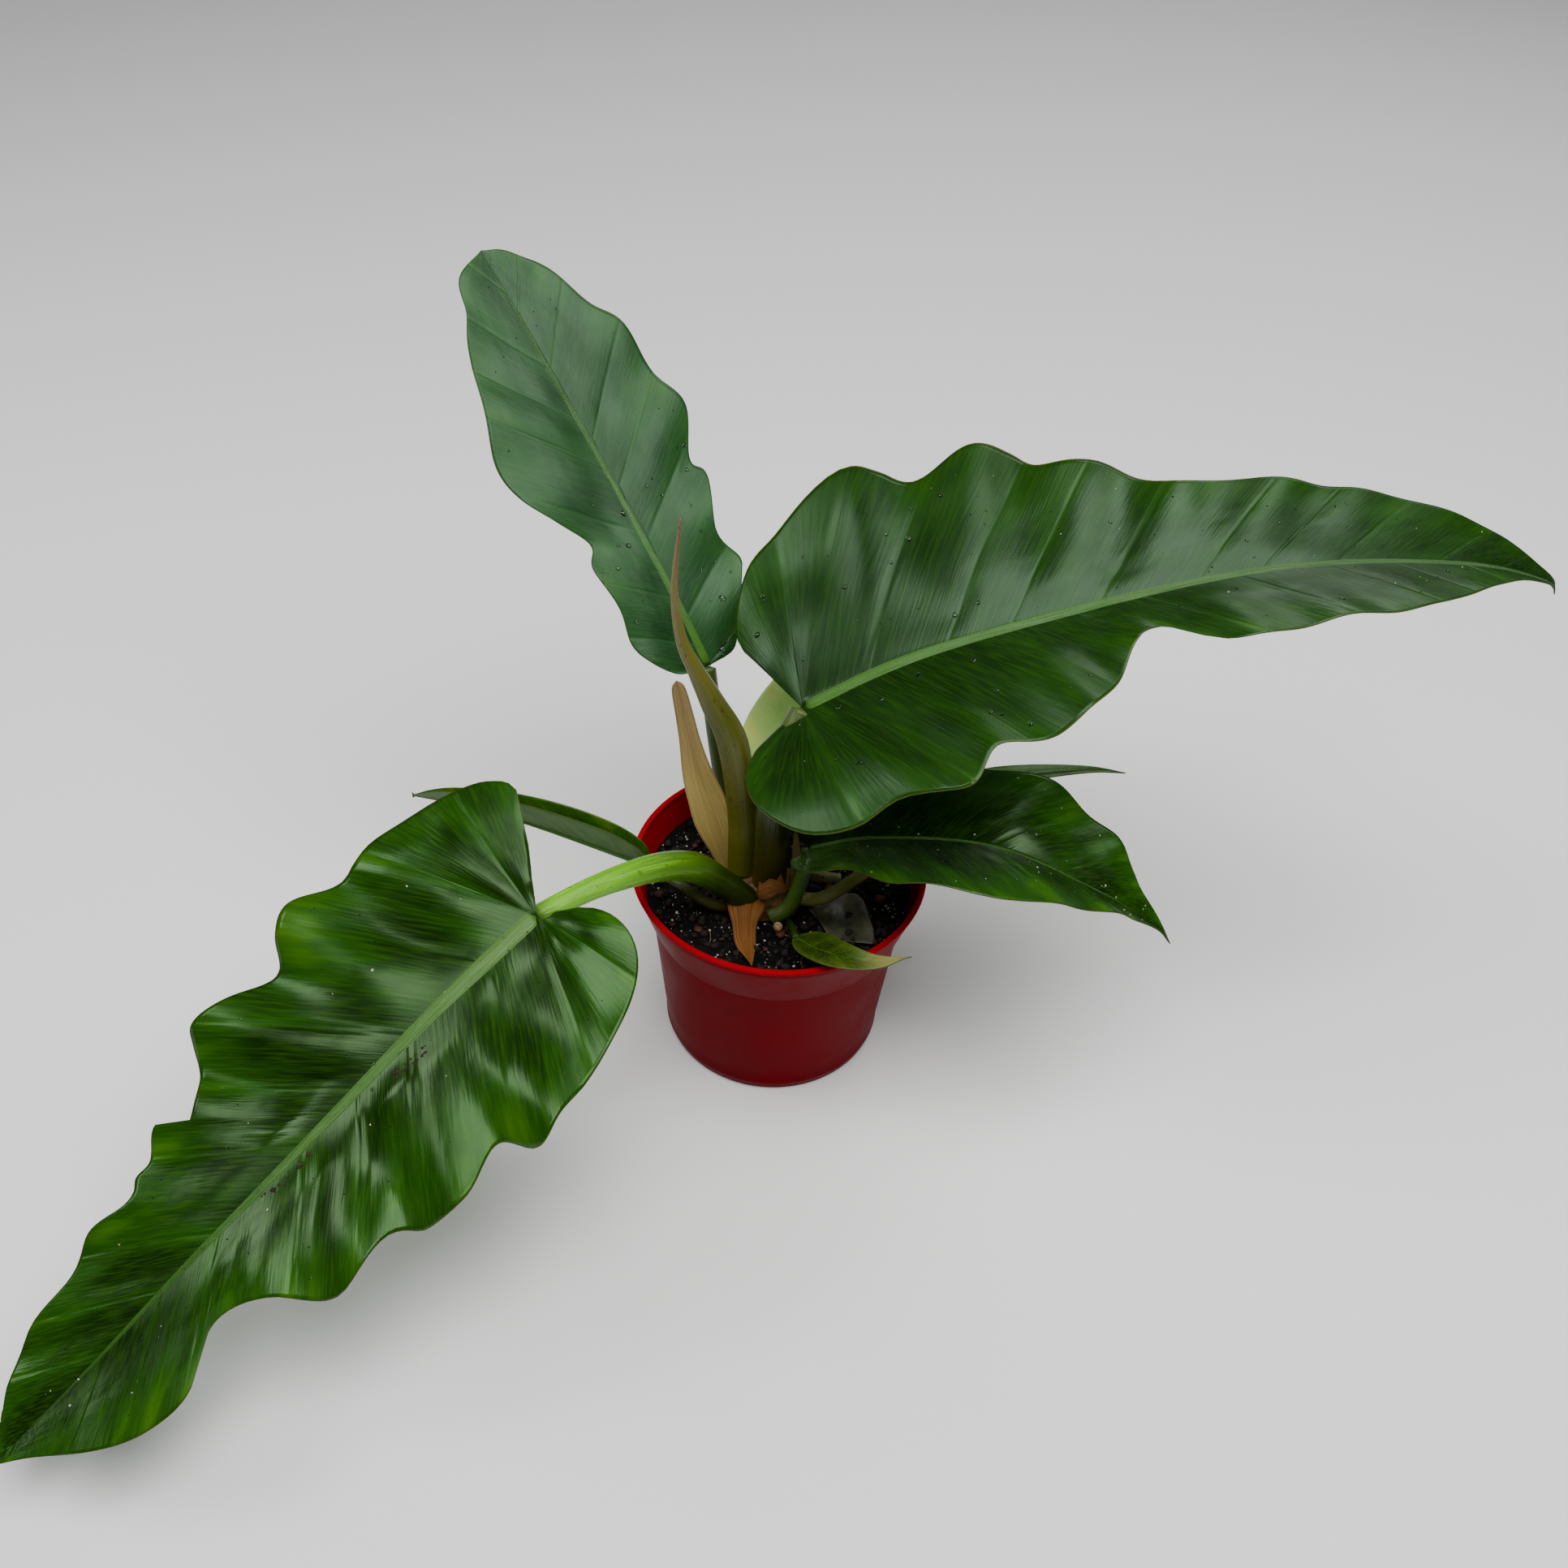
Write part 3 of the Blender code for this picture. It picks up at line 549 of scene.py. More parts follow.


# %% Leaf skins
# Grown leaves are deep green under thick clear wax, which mirrors the sky. The upright one has a dull
# bloom over it, and young leaves are thin and pale, with little wax. The young skin's pale, bright colour
# is also painted light, which stands in for light shining through the thin leaf from behind.
MATURE = leaf_skin(
    "waxy mature leaf skin", [(0.36, "#030F00"), (0.57, "#072000"), (0.81, "#154000"), (1.0, "#3C6A00")],
    "#1C4204", "#384408", (0.21, 0.32), 32, 0.36, "#CCFFBC")
MATURE_WIDE = leaf_skin(
    "waxy leaf skin, wide veins",
    [(0.36, "#081A00"), (0.62, "#0D2804"), (0.86, "#183C04"), (1.0, "#305A04")],
    "#24481A", "#4C5618", (0.27, 0.38), 34, 0.3, "#D4FFD8")
SATIN = leaf_skin(
    "satin grey-green leaf skin", [(0.36, "#0C2810"), (0.6, "#143616"), (0.8, "#1E461C"), (1.0, "#34581A")],
    "#345A30", "#3C4C20", (0.34, 0.44), 28, 0.3, "#D8FFDC")
SLENDER = leaf_skin(
    "thin glossy leaf skin", [(0.36, "#0C2600"), (0.6, "#163600"), (0.84, "#264E02"), (1.0, "#466C08")],
    "#30560E", "#4C5818", (0.24, 0.36), 22, 0.28)
SUNLIT = leaf_skin(
    "thin glossy leaf skin, sunlit",
    [(0.36, "#1A4000"), (0.6, "#2C5800"), (0.84, "#447A08"), (1.0, "#74A020")],
    "#4C7A1C", "#6C7020", (0.24, 0.36), 22, 0.3)
TAN_TIP = leaf_skin(
    "thin young leaf skin, dried tan at the tip",
    [(0.36, "#0E2200"), (0.6, "#1A3404"), (0.84, "#364C10"), (1.0, "#6A7030")],
    "#5E7028", "#7A7A3C", (0.3, 0.4), 14, 0.28, tip=(0.03, 0.052, "#8E8A50"))
# The pale young skin is partly painted light: its bright tones stand in for light shining through the leaf.
YOUNG_WITH_PAINTED_BACKLIGHT = leaf_skin(
    "pale young leaf skin with painted backlight", [(0.36, "#84C45C"), (0.6, "#ACE27E"), (0.84, "#CCF08E"), (1.0, "#F0F878")],
    "#C0E498", "#8A9A4C", (0.32, 0.45), 16)
LEAF_BACK = underside("matt leaf underside", "#446A22", "#2C5210")
PALE_BACK = underside("matt young underside", "#9AB25A", "#7F9C44")
CUT_EDGE = underside("leaf edge, thin brown cuticle line", "#3C4614", "#263408")
print("leaf skins", [skin.name for skin in (MATURE, MATURE_WIDE, SATIN, SLENDER, SUNLIT, TAN_TIP, YOUNG_WITH_PAINTED_BACKLIGHT)])

# %% [markdown]
# ## The leaves
# Eight blades, each as the plant holds it. The long one at the left hangs down below the rim of the
# pot, the one at the back stands up, and the widest one reaches to the right. The outlines start
# beside the joint, go back around the lobe and then forward to the tip, so that each bay in the
# margin lies where the real leaf has it.

# %% Large leaves
leaves = {}


def leaf(name, points, left, right, skin, back, slot, fan=24, rows=150, across=26, **form):
    """A blade that is remembered by name, so that ribs and drops of water can be put on it."""
    leaves[name] = Blade(over_rim(*points), left, right, **form)
    return make_blade(name, leaves[name], [skin, back, CUT_EDGE], slot, fan, rows, across)


leaf("blade_A", [(-94, -70, 32), (-130, -108, 13), (-168, -149, -11), (-208, -193, -35),
                 (-238, -226, -55), (-262, -252, -69)],
     [(-1, 3), (-15, 13), (-20, 28), (-15, 43), (0, 54), (21, 62), (45, 67), (62, 70), (72, 56),
      (92, 63), (110, 59), (121, 50), (148, 52), (165, 33), (184, 24), (205, 36), (223, 34),
      (240, 24), (256, 9)],
     [(-2, 3), (-29, 40), (-26, 56), (-8, 65), (23, 72), (43, 68), (62, 75), (74, 69), (84, 58),
      (102, 64), (118, 67), (124, 61), (131, 49), (139, 41), (145, 38), (148, 43), (151, 47), (156, 46),
      (163, 39), (170, 38), (174, 34), (180, 33), (194, 36), (208, 29), (231, 26), (256, 11)],
     MATURE, LEAF_BACK, "leaf_green", rows=190, across=30, roll=-12, fold=8, ripple=2.8, quilt=2.4,
     calm_tip=0.8, vein_gap=30, seed=3)
leaf("blade_B", [(-36, 50, 68), (-53, 66, 94), (-79, 92, 127), (-111, 122, 167), (-130, 141, 190),
                 (-142, 152, 204)],
     [(0, 4), (4, 17), (20, 28), (38, 26), (58, 28), (68, 23), (82, 32), (98, 42), (115, 44),
      (138, 36), (164, 28), (178, 21), (193, 16)],
     [(0, 3), (2, 15), (17, 24), (28, 32), (36, 36), (51, 31), (74, 40), (83, 37), (104, 47),
      (122, 42), (148, 40), (162, 31), (182, 22), (196, 10)],
     SATIN, LEAF_BACK, "leaf_grey", roll=-10, fold=7, ripple=1.5, quilt=1.3, calm_tip=0.7,
     vein_gap=28, seed=5)
leaf("blade_C", [(6, 8, 81), (53, 17, 105), (135, 33, 128), (203, 46, 139), (273, 59, 136),
                 (313, 67, 125), (320, 68, 118)],
     [(1, 3), (-4, 20), (-15, 36), (-14, 52), (0, 74), (18, 83), (46, 97), (60, 90), (72, 83),
      (98, 89), (113, 83), (123, 71), (145, 65), (168, 47), (196, 44), (239, 35), (280, 25), (312, 12)],
     [(-2, 4), (-20, 9), (-28, 22), (-29, 39), (-21, 56), (-9, 68), (8, 73), (26, 69), (42, 73),
      (56, 77), (69, 63), (92, 64), (108, 57), (121, 45), (132, 30), (146, 21), (168, 38), (190, 39),
      (216, 35), (242, 33), (270, 24), (308, 6)],
     MATURE_WIDE, LEAF_BACK, "leaf_green", rows=190, across=30, roll=14, fold=16, camber=0.0012,
     ripple=2.5, quilt=1.6, vein_gap=34, calm_tip=1, seed=8)
leaf("blade_D", [(12, -12, 21), (40, -15, 32), (87, -23, 39), (130, -31, 26), (157, -36, 12),
                 (166, -38, 3)],
     [(0, 3), (-8, 12), (-4, 24), (12, 34), (40, 40), (74, 39), (97, 40), (114, 35), (130, 27),
      (148, 10), (159, 3)],
     [(0, 3), (-6, 10), (0, 20), (12, 28), (28, 30), (46, 39), (74, 42), (93, 36), (115, 24),
      (140, 9), (157, 2)],
     MATURE, LEAF_BACK, "leaf_green", rows=120, roll=0, fold=18, ripple=1.5, quilt=1.4, vein_gap=30, seed=9)

# %% Small leaves
leaf("blade_E", [(2, 30, 15), (4, 42, 38), (8, 52, 63), (12, 62, 84)],
     [(0, 3), (2, 12), (12, 22), (24, 24), (40, 19), (58, 10), (70, 4)],
     [(0, 3), (2, 12), (12, 20), (26, 22), (42, 17), (58, 9), (70, 4)],
     YOUNG_WITH_PAINTED_BACKLIGHT, PALE_BACK, "leaf_pale", 14, 60, 16, fold=10, quilt=0.6, vein_gap=16, seed=11)
leaf("blade_F", [(-57, -10, 3), (-68, -8, 6), (-107, -1, 15), (-140, 10, 14), (-165, 20, 9)],
     [(0, 3), (4, 12), (16, 18), (36, 19), (62, 17), (88, 11), (104, 5)],
     [(0, 3), (4, 9), (16, 13), (36, 14), (62, 12), (88, 8), (104, 4)],
     SLENDER, LEAF_BACK, "leaf_green", 14, 80, 14, fold=70, camber=0, quilt=0.4, vein_gap=22, seed=13)
leaf("blade_G", [(9, -38, -7), (18, -49, -1), (28, -57, 4), (42, -59, 4), (57, -53, 2)],
     [(0, 2), (5, 7), (14, 9), (28, 7), (42, 4), (54, 1)],
     [(0, 2), (6, 6), (16, 9), (28, 9), (42, 5), (54, 1)],
     TAN_TIP, PALE_BACK, "leaf_pale", 10, 50, 12, fold=14, quilt=0.2, vein_gap=14, seed=15)
leaf("blade_H", [(70, 22, 19), (90, 34, 23), (107, 43, 21), (138, 54, 17), (158, 61, 11)],
     [(0, 3), (-2, 6), (6, 9), (24, 9), (48, 7), (72, 4), (90, 1.5)], None,
     SUNLIT, LEAF_BACK, "leaf_green", 14, 70, 14, roll=-12, fold=14, quilt=0.4, vein_gap=22, seed=17)
print("leaves", {name: round(blade.midrib.length) for name, blade in leaves.items()})

# %% [markdown]
# ## Stalks and midribs
# A petiole is a juicy rod, smooth and a little streaked, bright green where the light reaches it
# and olive or tan near the crown. It runs on under the blade as the midrib, which shows from above
# as a flat pale band that narrows to nothing at the tip, and from below as a round ridge. Each one
# is a grid rolled around its curve, with one coordinate around it and one along it. A curve with a
# bevel would be quicker, but this way the tube can be grooved, flattened and rounded at its ends.


# %% Stalk material
def stalk_skin(name, stops, freckles=0.0, shine=0.3):
    """A smooth stalk whose colour changes along it, with long streaks and small dark freckles."""
    made, tree, shader = new_material(name, Roughness=shine, Specular_IOR_Level=0.4)
    flow = add(tree, "UVMap", {})
    along = add(tree, "SeparateXYZ", {0: flow}, 1)
    # Counted around a stalk of 5 to 15 mm: 16 streaks of 1 to 3 mm, and 60 ridges of 0.3 to 0.8 mm.
    streak, ridges = streaks(tree, flow, ((16, 3, 0), 4.0, 0.6), ((60, 6, 0), 2.0, 0.5))
    drift = add(tree, "Math", {0: streak, 1: 0.3, 2: -0.15}, operation="MULTIPLY_ADD")
    drift = add(tree, "Math", {0: along, 1: drift}, operation="ADD")
    colour = add(tree, "ValToRGB", {0: drift}, stops=stops)
    dull = add(tree, "MapRange", {0: streak, 1: 0.4, 2: 0.7, 3: 0.35, 4: 0.0}, **SMOOTH)
    colour = add(tree, "Mix", {0: dull, 6: colour, 7: stops[0][1]}, 2, **COLOURS)
    place = add(tree, "TexCoord", {}, "Object")
    dots = add(tree, "TexNoise", {"Vector": place, "Scale": per(2.381), "Detail": 1.0})
    dots = add(tree, "MapRange", {0: dots, 1: 0.66, 2: 0.72, 3: 0.0, 4: freckles}, **SMOOTH)
    colour = add(tree, "Mix", {0: dots, 6: colour, 7: "#2A1A08"}, 2, **COLOURS)
    dress(tree, shader, colour, ridges, 0.0004)
    return made


# %% Stalk skins
# Stalks are juicy and smooth, so they glow in the light and take long soft highlights.
# The lime stalk is partly painted light: its bright lime band is where the sky lights it from above. It
# darkens towards the crown.
LIME_WITH_PAINTED_LIGHT = stalk_skin(
    "lime petiole skin with painted light",
    [(0.0, "#222E00"), (0.2, "#2E4A00"), (0.45, "#4C7C00"),
     (0.7, "#74C000"), (0.93, "#7ECC10"), (1.0, "#54782A")], 0.4)
OLIVE = stalk_skin(
    "olive petiole skin", [(0.0, "#44340A"), (0.2, "#343A02"), (0.6, "#2A3C04"), (1.0, "#3C5C10")], 0.5)
PALE_OLIVE = stalk_skin(
    "pale olive petiole skin", [(0.0, "#76743A"), (0.5, "#8A8E44"), (1.0, "#5A7A20")], 0.4)
MOSS = stalk_skin(
    "mid green petiole skin", [(0.0, "#3C4A10"), (0.5, "#345A10"), (1.0, "#3A6616")], 0.3)
GREEN = stalk_skin(
    "dark green petiole skin", [(0.0, "#343406"), (0.5, "#183200"), (1.0, "#2C4C08")], 0.3)
SPEAR = stalk_skin(
    "rolled leaf skin, olive to rose",
    [(0.0, "#525402"), (0.3, "#505204"), (0.48, "#42460A"),
     (0.66, "#686426"), (0.86, "#9A8050"), (1.0, "#A87462")], 0.5, 0.34)
BUFF = stalk_skin(
    "cut stalk stub, dry buff", [(0.0, "#5A5A1C"), (0.5, "#8F8A4C"), (1.0, "#B2A878")], 0.8, 0.6)
RIB = stalk_skin(
    "pale midrib band",
    [(0.0, "#4A7428"), (0.12, "#3C6A16"), (0.5, "#2A5A04"), (1.0, "#0E3000")], 0.35, 0.3)
RIB_GREY = stalk_skin(
    "pale grey midrib band", [(0.0, "#3E6A1A"), (0.3, "#406830"), (1.0, "#32502C")], 0.2, 0.35)

# %% Stalks
stalks = [
    ("petiole_C", [(-4, -9, -7), (-4, -8, 18), (-4, -7, 43), (0, -1, 68), (6, 8, 81)],
     (7.6, 7.2, 6.6, 5.6, 5.0), OLIVE, "stalk_olive", [(300, 0.25, 0.06)]),
    ("spear", [(-16, -3, -6), (-16, 1, 11), (-17, 4, 27), (-22, 7, 61), (-31, 10, 80), (-38, 12, 94),
               (-44, 14, 107), (-47, 16, 124), (-47, 17, 140), (-45, 17, 163)],
     (6.2, 6.3, 6.2, 6.3, 4.9, 3.4, 2.4, 1.6, 1.1, 0.5), SPEAR, "stalk_olive",
     [(200, 0.18, 0.14), (232, 0.3, -0.08)]),
    ("petiole_A", [(-12, -19, -6), (-25, -21, 8), (-36, -28, 22), (-51, -38, 30), (-72, -54, 34),
                   (-94, -70, 32)],
     (6.2, 6.4, 6.8, 6.0, 4.8, 4.2), LIME_WITH_PAINTED_LIGHT, "stalk_lime", [(90, 0.5, -0.12)]),
    ("petiole_B", [(-16, 6, -7), (-25, 20, 20), (-32, 36, 48), (-36, 50, 68)],
     (4.8, 4.4, 4.0, 3.4), GREEN, "stalk_green", [(270, 0.4, -0.1)]),
    ("petiole_D", [(-3, -26, -8), (5, -24, -3), (10, -18, 9), (12, -12, 21)],
     (3.4, 3.4, 3.2, 2.8), MOSS, "stalk_green", []),
    ("petiole_E", [(0, 4, -7), (1, 18, 2), (2, 30, 15)], (3.0, 2.6, 2.2), GREEN, "stalk_green", []),
    ("petiole_F", [(-17, -18, -10), (-28, -22, -6), (-42, -18, 0), (-57, -10, 3)],
     (2.6, 2.5, 2.3, 2.0), OLIVE, "stalk_olive", []),
    ("petiole_H", [(6, -12, -9), (20, -17, -3), (40, -5, 5), (58, 10, 13), (70, 22, 19)],
     (3.2, 3.0, 2.8, 2.6, 2.4), PALE_OLIVE, "stalk_olive", []),
    ("cut_stub", [(4, 0, -8), (14, -5, -2), (27, -9, 1)], (2.8, 2.6, 2.4), BUFF, "sheath_tan",
     [(90, 0.5, -0.2)]),
]
for name, points, widths, skin, slot, ridges in stalks:
    tube(name, Stalk(over_rim(*points)), widths, skin, slot, count=16 * len(points), ridges=ridges,
         nodes=[name])
tube("petiole_G", Stalk(over_soil((2, -20, 1), (7, -29, 3), (9, -38, 6))), (1.8, 1.7, 1.5), GREEN,
     "stalk_green", 16, 40, nodes=["petiole_G"])

# %% Midribs
RIB_WIDTHS = {"blade_A": (4.4, 3.6, 2.8, 2.2, 1.6, 1.1, 0.5), "blade_B": (2.4, 2.0, 1.7, 1.3, 0.9, 0.4),
              "blade_C": (3.6, 3.2, 2.7, 2.1, 1.6, 1.1, 0.4), "blade_D": (1.8, 1.5, 1.2, 0.9, 0.3),
              "blade_E": (1.6, 1.2, 0.9, 0.3), "blade_F": (1.4, 1.2, 0.9, 0.3),
              "blade_G": (0.9, 0.7, 0.2), "blade_H": (1.5, 1.2, 0.9, 0.3)}
for name, widths in RIB_WIDTHS.items():
    rib = leaves[name].midrib
    skin = RIB_GREY if name in ("blade_B", "blade_C") else RIB
    slot = "leaf_grey" if name == "blade_B" else "stalk_green"
    tube(name.replace("blade", "midrib"), rib, widths, skin, slot, 20, 100,
         flat=0.28 + 0.6 * math.sin(leaves[name].fold), deep=0.85)
print("stalks and ribs", len(stalks) + 1 + len(RIB_WIDTHS))

# %% [markdown]
# ## Sheaths
# Each new leaf comes out of a sheath, a cataphyll, that dries afterwards: the tall one beside the
# rolled leaf is still buff and papery, and the short ones on the potting mix have gone brown. They
# are narrow blades without side veins, with long parallel fibres that show as ridges, so they are
# made by the blade's own function and need only a skin of their own.


# %% Sheath material
def sheath_skin(name, stops, shine=0.55):
    """Papery tissue with long fibres, darker towards its edges."""
    made, tree, shader = new_material(name, Roughness=shine, Specular_IOR_Level=0.35)
    flow = add(tree, "UVMap", {})
    along = add(tree, "SeparateXYZ", {0: flow}, 0)
    side = add(tree, "SeparateXYZ", {0: flow}, 1)
    share = add(tree, "Math", {0: side}, operation="ABSOLUTE")
    # Counted from midline to edge, about 8 mm: 16 bands of fibres of 0.5 mm, and 26 ridges of 0.3 mm.
    fibres, ridges = streaks(tree, flow, ((14, 16, 0), 4.0, 0.6), ((12, 26, 0), 2.0, 0.5))
    mixed = add(tree, "Math", {0: along, 1: 3.0}, operation="MULTIPLY")
    mixed = add(tree, "Math", {0: fibres, 1: 0.9, 2: mixed}, operation="MULTIPLY_ADD")
    colour = add(tree, "ValToRGB", {0: mixed}, stops=stops)
    dull = add(tree, "MapRange", {0: share, 1: 0.8, 2: 1.0, 3: 0.0, 4: 0.5}, **SMOOTH)
    colour = add(tree, "Mix", {0: dull, 6: colour, 7: stops[0][1]}, 2, **COLOURS)
    dress(tree, shader, colour, ridges, 0.0006)
    return made


# %% Sheath skins
# Dry tissue has no wax left, so it is matt, and its fibres catch the light as ridges.
PAPER = sheath_skin("papery buff cataphyll", [(0.35, "#867236"), (0.6, "#AA9454"), (0.85, "#C0A274")])
BROWN = sheath_skin("dry brown cataphyll", [(0.35, "#5E340E"), (0.6, "#945E20"), (0.85, "#B88A48")], 0.6)

# %% Sheaths
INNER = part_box("soil")[1][0] / MM
SHEATHS = [
    ("sheath_I", over_rim((-20, -4, -7), (-26, 1, 11), (-32, 6, 27), (-37, 10, 41), (-43, 16, 66),
                          (-47, 19, 83)),
     [(-1, 4), (14, 6), (30, 9), (46, 8), (68, 5), (82, 4), (94, 3)], None, PAPER, "sheath_tan", -40, 24),
    ("dry_sheath", [*over_rim((-13, -22, -1), (-13, -29, -3)), *over_soil((-12, -38, 3)),
                    (-9, 7 - INNER, SOIL_TOP + 1.6)],
     [(0, 9), (5, 8), (12, 5), (20, 4), (27, 2)], [(0, 9), (5, 8), (12, 6), (20, 5), (27, 2)], BROWN,
     "dry_brown", 0, -16),
    ("collar_sheath", over_rim((-8, -22, 1), (-4, -22, 4), (1, -20, 4), (5, -17, 3)),
     [(0, 2), (2, 6), (4, 4), (7, 5), (10, 4), (12, 6), (13, 2)], [(0, 2), (5, 3), (9, 2), (13, 2)],
     BROWN, "dry_brown", 55, 0),
    ("pale_sheath", over_rim((5, -14, -6), (7, -13, 4), (7, -9, 14), (6, -4, 26)),
     [(0, 3), (8, 3), (20, 2), (30, 1)], None, PAPER, "sheath_tan", 0, 10),
]
for name, points, left, right, skin, slot, roll, fold in SHEATHS:
    make_blade(name, Blade(points, left, right, roll=roll, fold=fold), [skin, skin, skin], slot, 1, 60, 10)
print("sheaths", [row[0] for row in SHEATHS])

# %% [markdown]
# ## The pot
# A nursery pot is injection moulded from polypropylene: a tapered wall little more than a
# millimetre thick, a collar that stands out from the body, a rolled lip and a drained floor. The
# body is satin and a little marked, and the lip is glossier. The lip and the inside of the collar
# are painted a brighter red, as painted light where the light falls on them. The wall is turned on
# the axis from one closed profile, like on a lathe.
# The Spin operator could turn it too, and the rolled grid is chosen because it brings its UV map.
# The drain holes are drilled with a Boolean, which cuts floor and wall cleanly at once.


# %% Pot materials
def red_plastic(name, colour, dusty, shine):
    """Moulded polypropylene with faint dust, fine pits and a soft shine."""
    made, tree, shader = new_material(name, Specular_IOR_Level=0.03, Specular_Tint=linear("#FF3028"))
    place = add(tree, "TexCoord", {}, "Object")
    cloud = add(tree, "TexNoise", {"Vector": place, "Scale": per(26.32), "Detail": 5.0})
    colour = add(tree, "ValToRGB", {0: cloud}, stops=[(0.3, colour), (0.75, dusty)])
    gloss = add(tree, "MapRange", {0: cloud, 1: 0.35, 2: 0.7, 3: shine, 4: shine + 0.14}, **SMOOTH)
    tree.links.new(gloss, shader.inputs["Roughness"])
    # The mould's grain is a fraction of a millimetre, too fine to show, so it is drawn at 1.1 mm.
    pits = add(tree, "TexNoise", {"Vector": place, "Scale": per(1.111), "Detail": 2.0})
    dress(tree, shader, colour, pits, 0.00006)
    return made


# %% Pot skins
# Coloured right through and moulded, polypropylene looks even and saturated, with a soft sheen.
POT_SKIN = red_plastic("satin red polypropylene", "#60000A", "#6A000E", 0.34)
# The lip skin's brighter red is painted light, for the light that falls on the rim and into the collar.
LIP_SKIN_PAINTED_LIGHTER = red_plastic("glossy red polypropylene lip, painted lighter", "#8A0010", "#940014", 0.22)

# %% Pot sizes
POT_HEIGHT = RIM
COLLAR_HEIGHT, COLLAR_STEP = 26.0, 0.8
COLLAR_FOOT = POT_HEIGHT - COLLAR_HEIGHT
COLLAR_FOOT_RADIUS = 56.7
BASE_RADIUS = 49.0
WALL = 1.3


def wall_radius(height):
    """Outer radius of the pot at a height."""
    if height >= COLLAR_FOOT:
        flare = (RIM_RADIUS - COLLAR_FOOT_RADIUS) * (height - COLLAR_FOOT) / COLLAR_HEIGHT
        return COLLAR_FOOT_RADIUS + flare
    return BASE_RADIUS + (COLLAR_FOOT_RADIUS - COLLAR_STEP - BASE_RADIUS) * height / COLLAR_FOOT


def inner_radius(height):
    """Inner radius of the pot at a height."""
    return wall_radius(height) - (COLLAR_STEP if height >= COLLAR_FOOT else 0) - WALL


# %% Lathe
def lathe_piece(name, profile, around, skins, bump=None):
    """Turn a profile of (radius, height) pairs, whose ends lie on the axis, into a closed piece."""
    profile = np.asarray(profile, float)
    turn = np.linspace(0, 2 * math.pi, around + 1)
    radius = np.repeat(profile[:, :1], around + 1, 1)
    height = np.repeat(profile[:, 1:], around + 1, 1)
    points = np.stack([radius * np.cos(turn), radius * np.sin(turn), height], -1)
    if bump is not None:
        points = bump(points)
        points[:, -1] = points[:, 0]
    reach = np.concatenate([[0], np.cumsum(np.linalg.norm(np.diff(profile, axis=0), axis=1))])
    flow = np.stack(np.broadcast_arrays((turn / (2 * math.pi))[None, :], reach[:, None] * MM), -1)
    return grid_piece(name, around, len(profile) - 1, points, skins, flow)


# %% Turn the pot
outside = [(0, 0), (BASE_RADIUS - 1.8, 0), (BASE_RADIUS - 0.9, 0.2), (BASE_RADIUS - 0.3, 0.8),
           (BASE_RADIUS, 1.8), (wall_radius(3.6), 3.6), (wall_radius(3.6) + 0.35, 3.9),
           (wall_radius(3.6) + 0.55, 4.4), (wall_radius(3.6) + 0.6, 5.6)]
outside += [(wall_radius(height), height) for height in np.linspace(8, COLLAR_FOOT - 1, 12)]
outside += [(COLLAR_FOOT_RADIUS - 0.35, COLLAR_FOOT - 0.6), (COLLAR_FOOT_RADIUS, COLLAR_FOOT)]
outside += [(wall_radius(height), height) for height in np.linspace(COLLAR_FOOT + 0.6, POT_HEIGHT - 2.4, 8)]
lip = [(RIM_RADIUS - 0.9, POT_HEIGHT - 1.8), (RIM_RADIUS - 0.2, POT_HEIGHT - 1.5),
       (RIM_RADIUS, POT_HEIGHT - 0.9), (RIM_RADIUS - 0.15, POT_HEIGHT - 0.5),
       (RIM_RADIUS - 0.5, POT_HEIGHT - 0.15), (RIM_RADIUS - 1.1, POT_HEIGHT),
       (RIM_RADIUS - 2.2, POT_HEIGHT), (RIM_RADIUS - 2.6, POT_HEIGHT - 0.25),
       (RIM_RADIUS - 2.8, POT_HEIGHT - 0.9), (inner_radius(POT_HEIGHT - 2), POT_HEIGHT - 2.4)]
inside = [(inner_radius(height), height) for height in np.linspace(POT_HEIGHT - 4, COLLAR_FOOT + 0.5, 10)]
inside += [(inner_radius(COLLAR_FOOT - 1), COLLAR_FOOT - 1), (inner_radius(20), 20),
           (inner_radius(WALL + 3), WALL + 3), (inner_radius(WALL) - 3, WALL), (0, WALL)]
pot = lathe_piece("pot_shell", outside + lip + inside, 160, [POT_SKIN, LIP_SKIN_PAINTED_LIGHTER])
# The rim and the inside of the collar take the lip skin, with its painted light.
for face in pot.data.polygons:
    rim_distance = math.hypot(face.center.x, face.center.y) / MM
    height = face.center.z / MM
    if height > POT_HEIGHT - 2.4 or (height > COLLAR_FOOT and rim_distance < wall_radius(height) - 0.7):
        face.material_index = 1
print("pot turned,", len(pot.data.polygons), "faces")

# %% Drain holes
bpy.ops.object.select_all(action="DESELECT")
DRAINS, DRAIN_RADIUS, DRAIN_REACH = 8, 4.0, 38.0
drills = []
for index in range(DRAINS):
    angle = 2 * math.pi * (index + 0.43) / DRAINS
    centre = (DRAIN_REACH * MM * math.cos(angle), DRAIN_REACH * MM * math.sin(angle), 0)
    bpy.ops.mesh.primitive_cylinder_add(vertices=32, radius=DRAIN_RADIUS * MM, depth=6 * MM,
                                        location=centre)
    drills.append(bpy.context.object)
for drill in drills:
    drill.select_set(True)
bpy.ops.object.join()
drill = bpy.context.object
bpy.ops.object.transform_apply(location=True, rotation=True, scale=True)
bpy.ops.object.select_all(action="DESELECT")
modify(pot, "BOOLEAN", object=drill, solver="EXACT")
bpy.data.objects.remove(drill, do_unlink=True)
pot.select_set(True)
bpy.context.view_layer.objects.active = pot
bpy.ops.object.shade_smooth_by_angle(angle=math.radians(40))
pot.select_set(False)
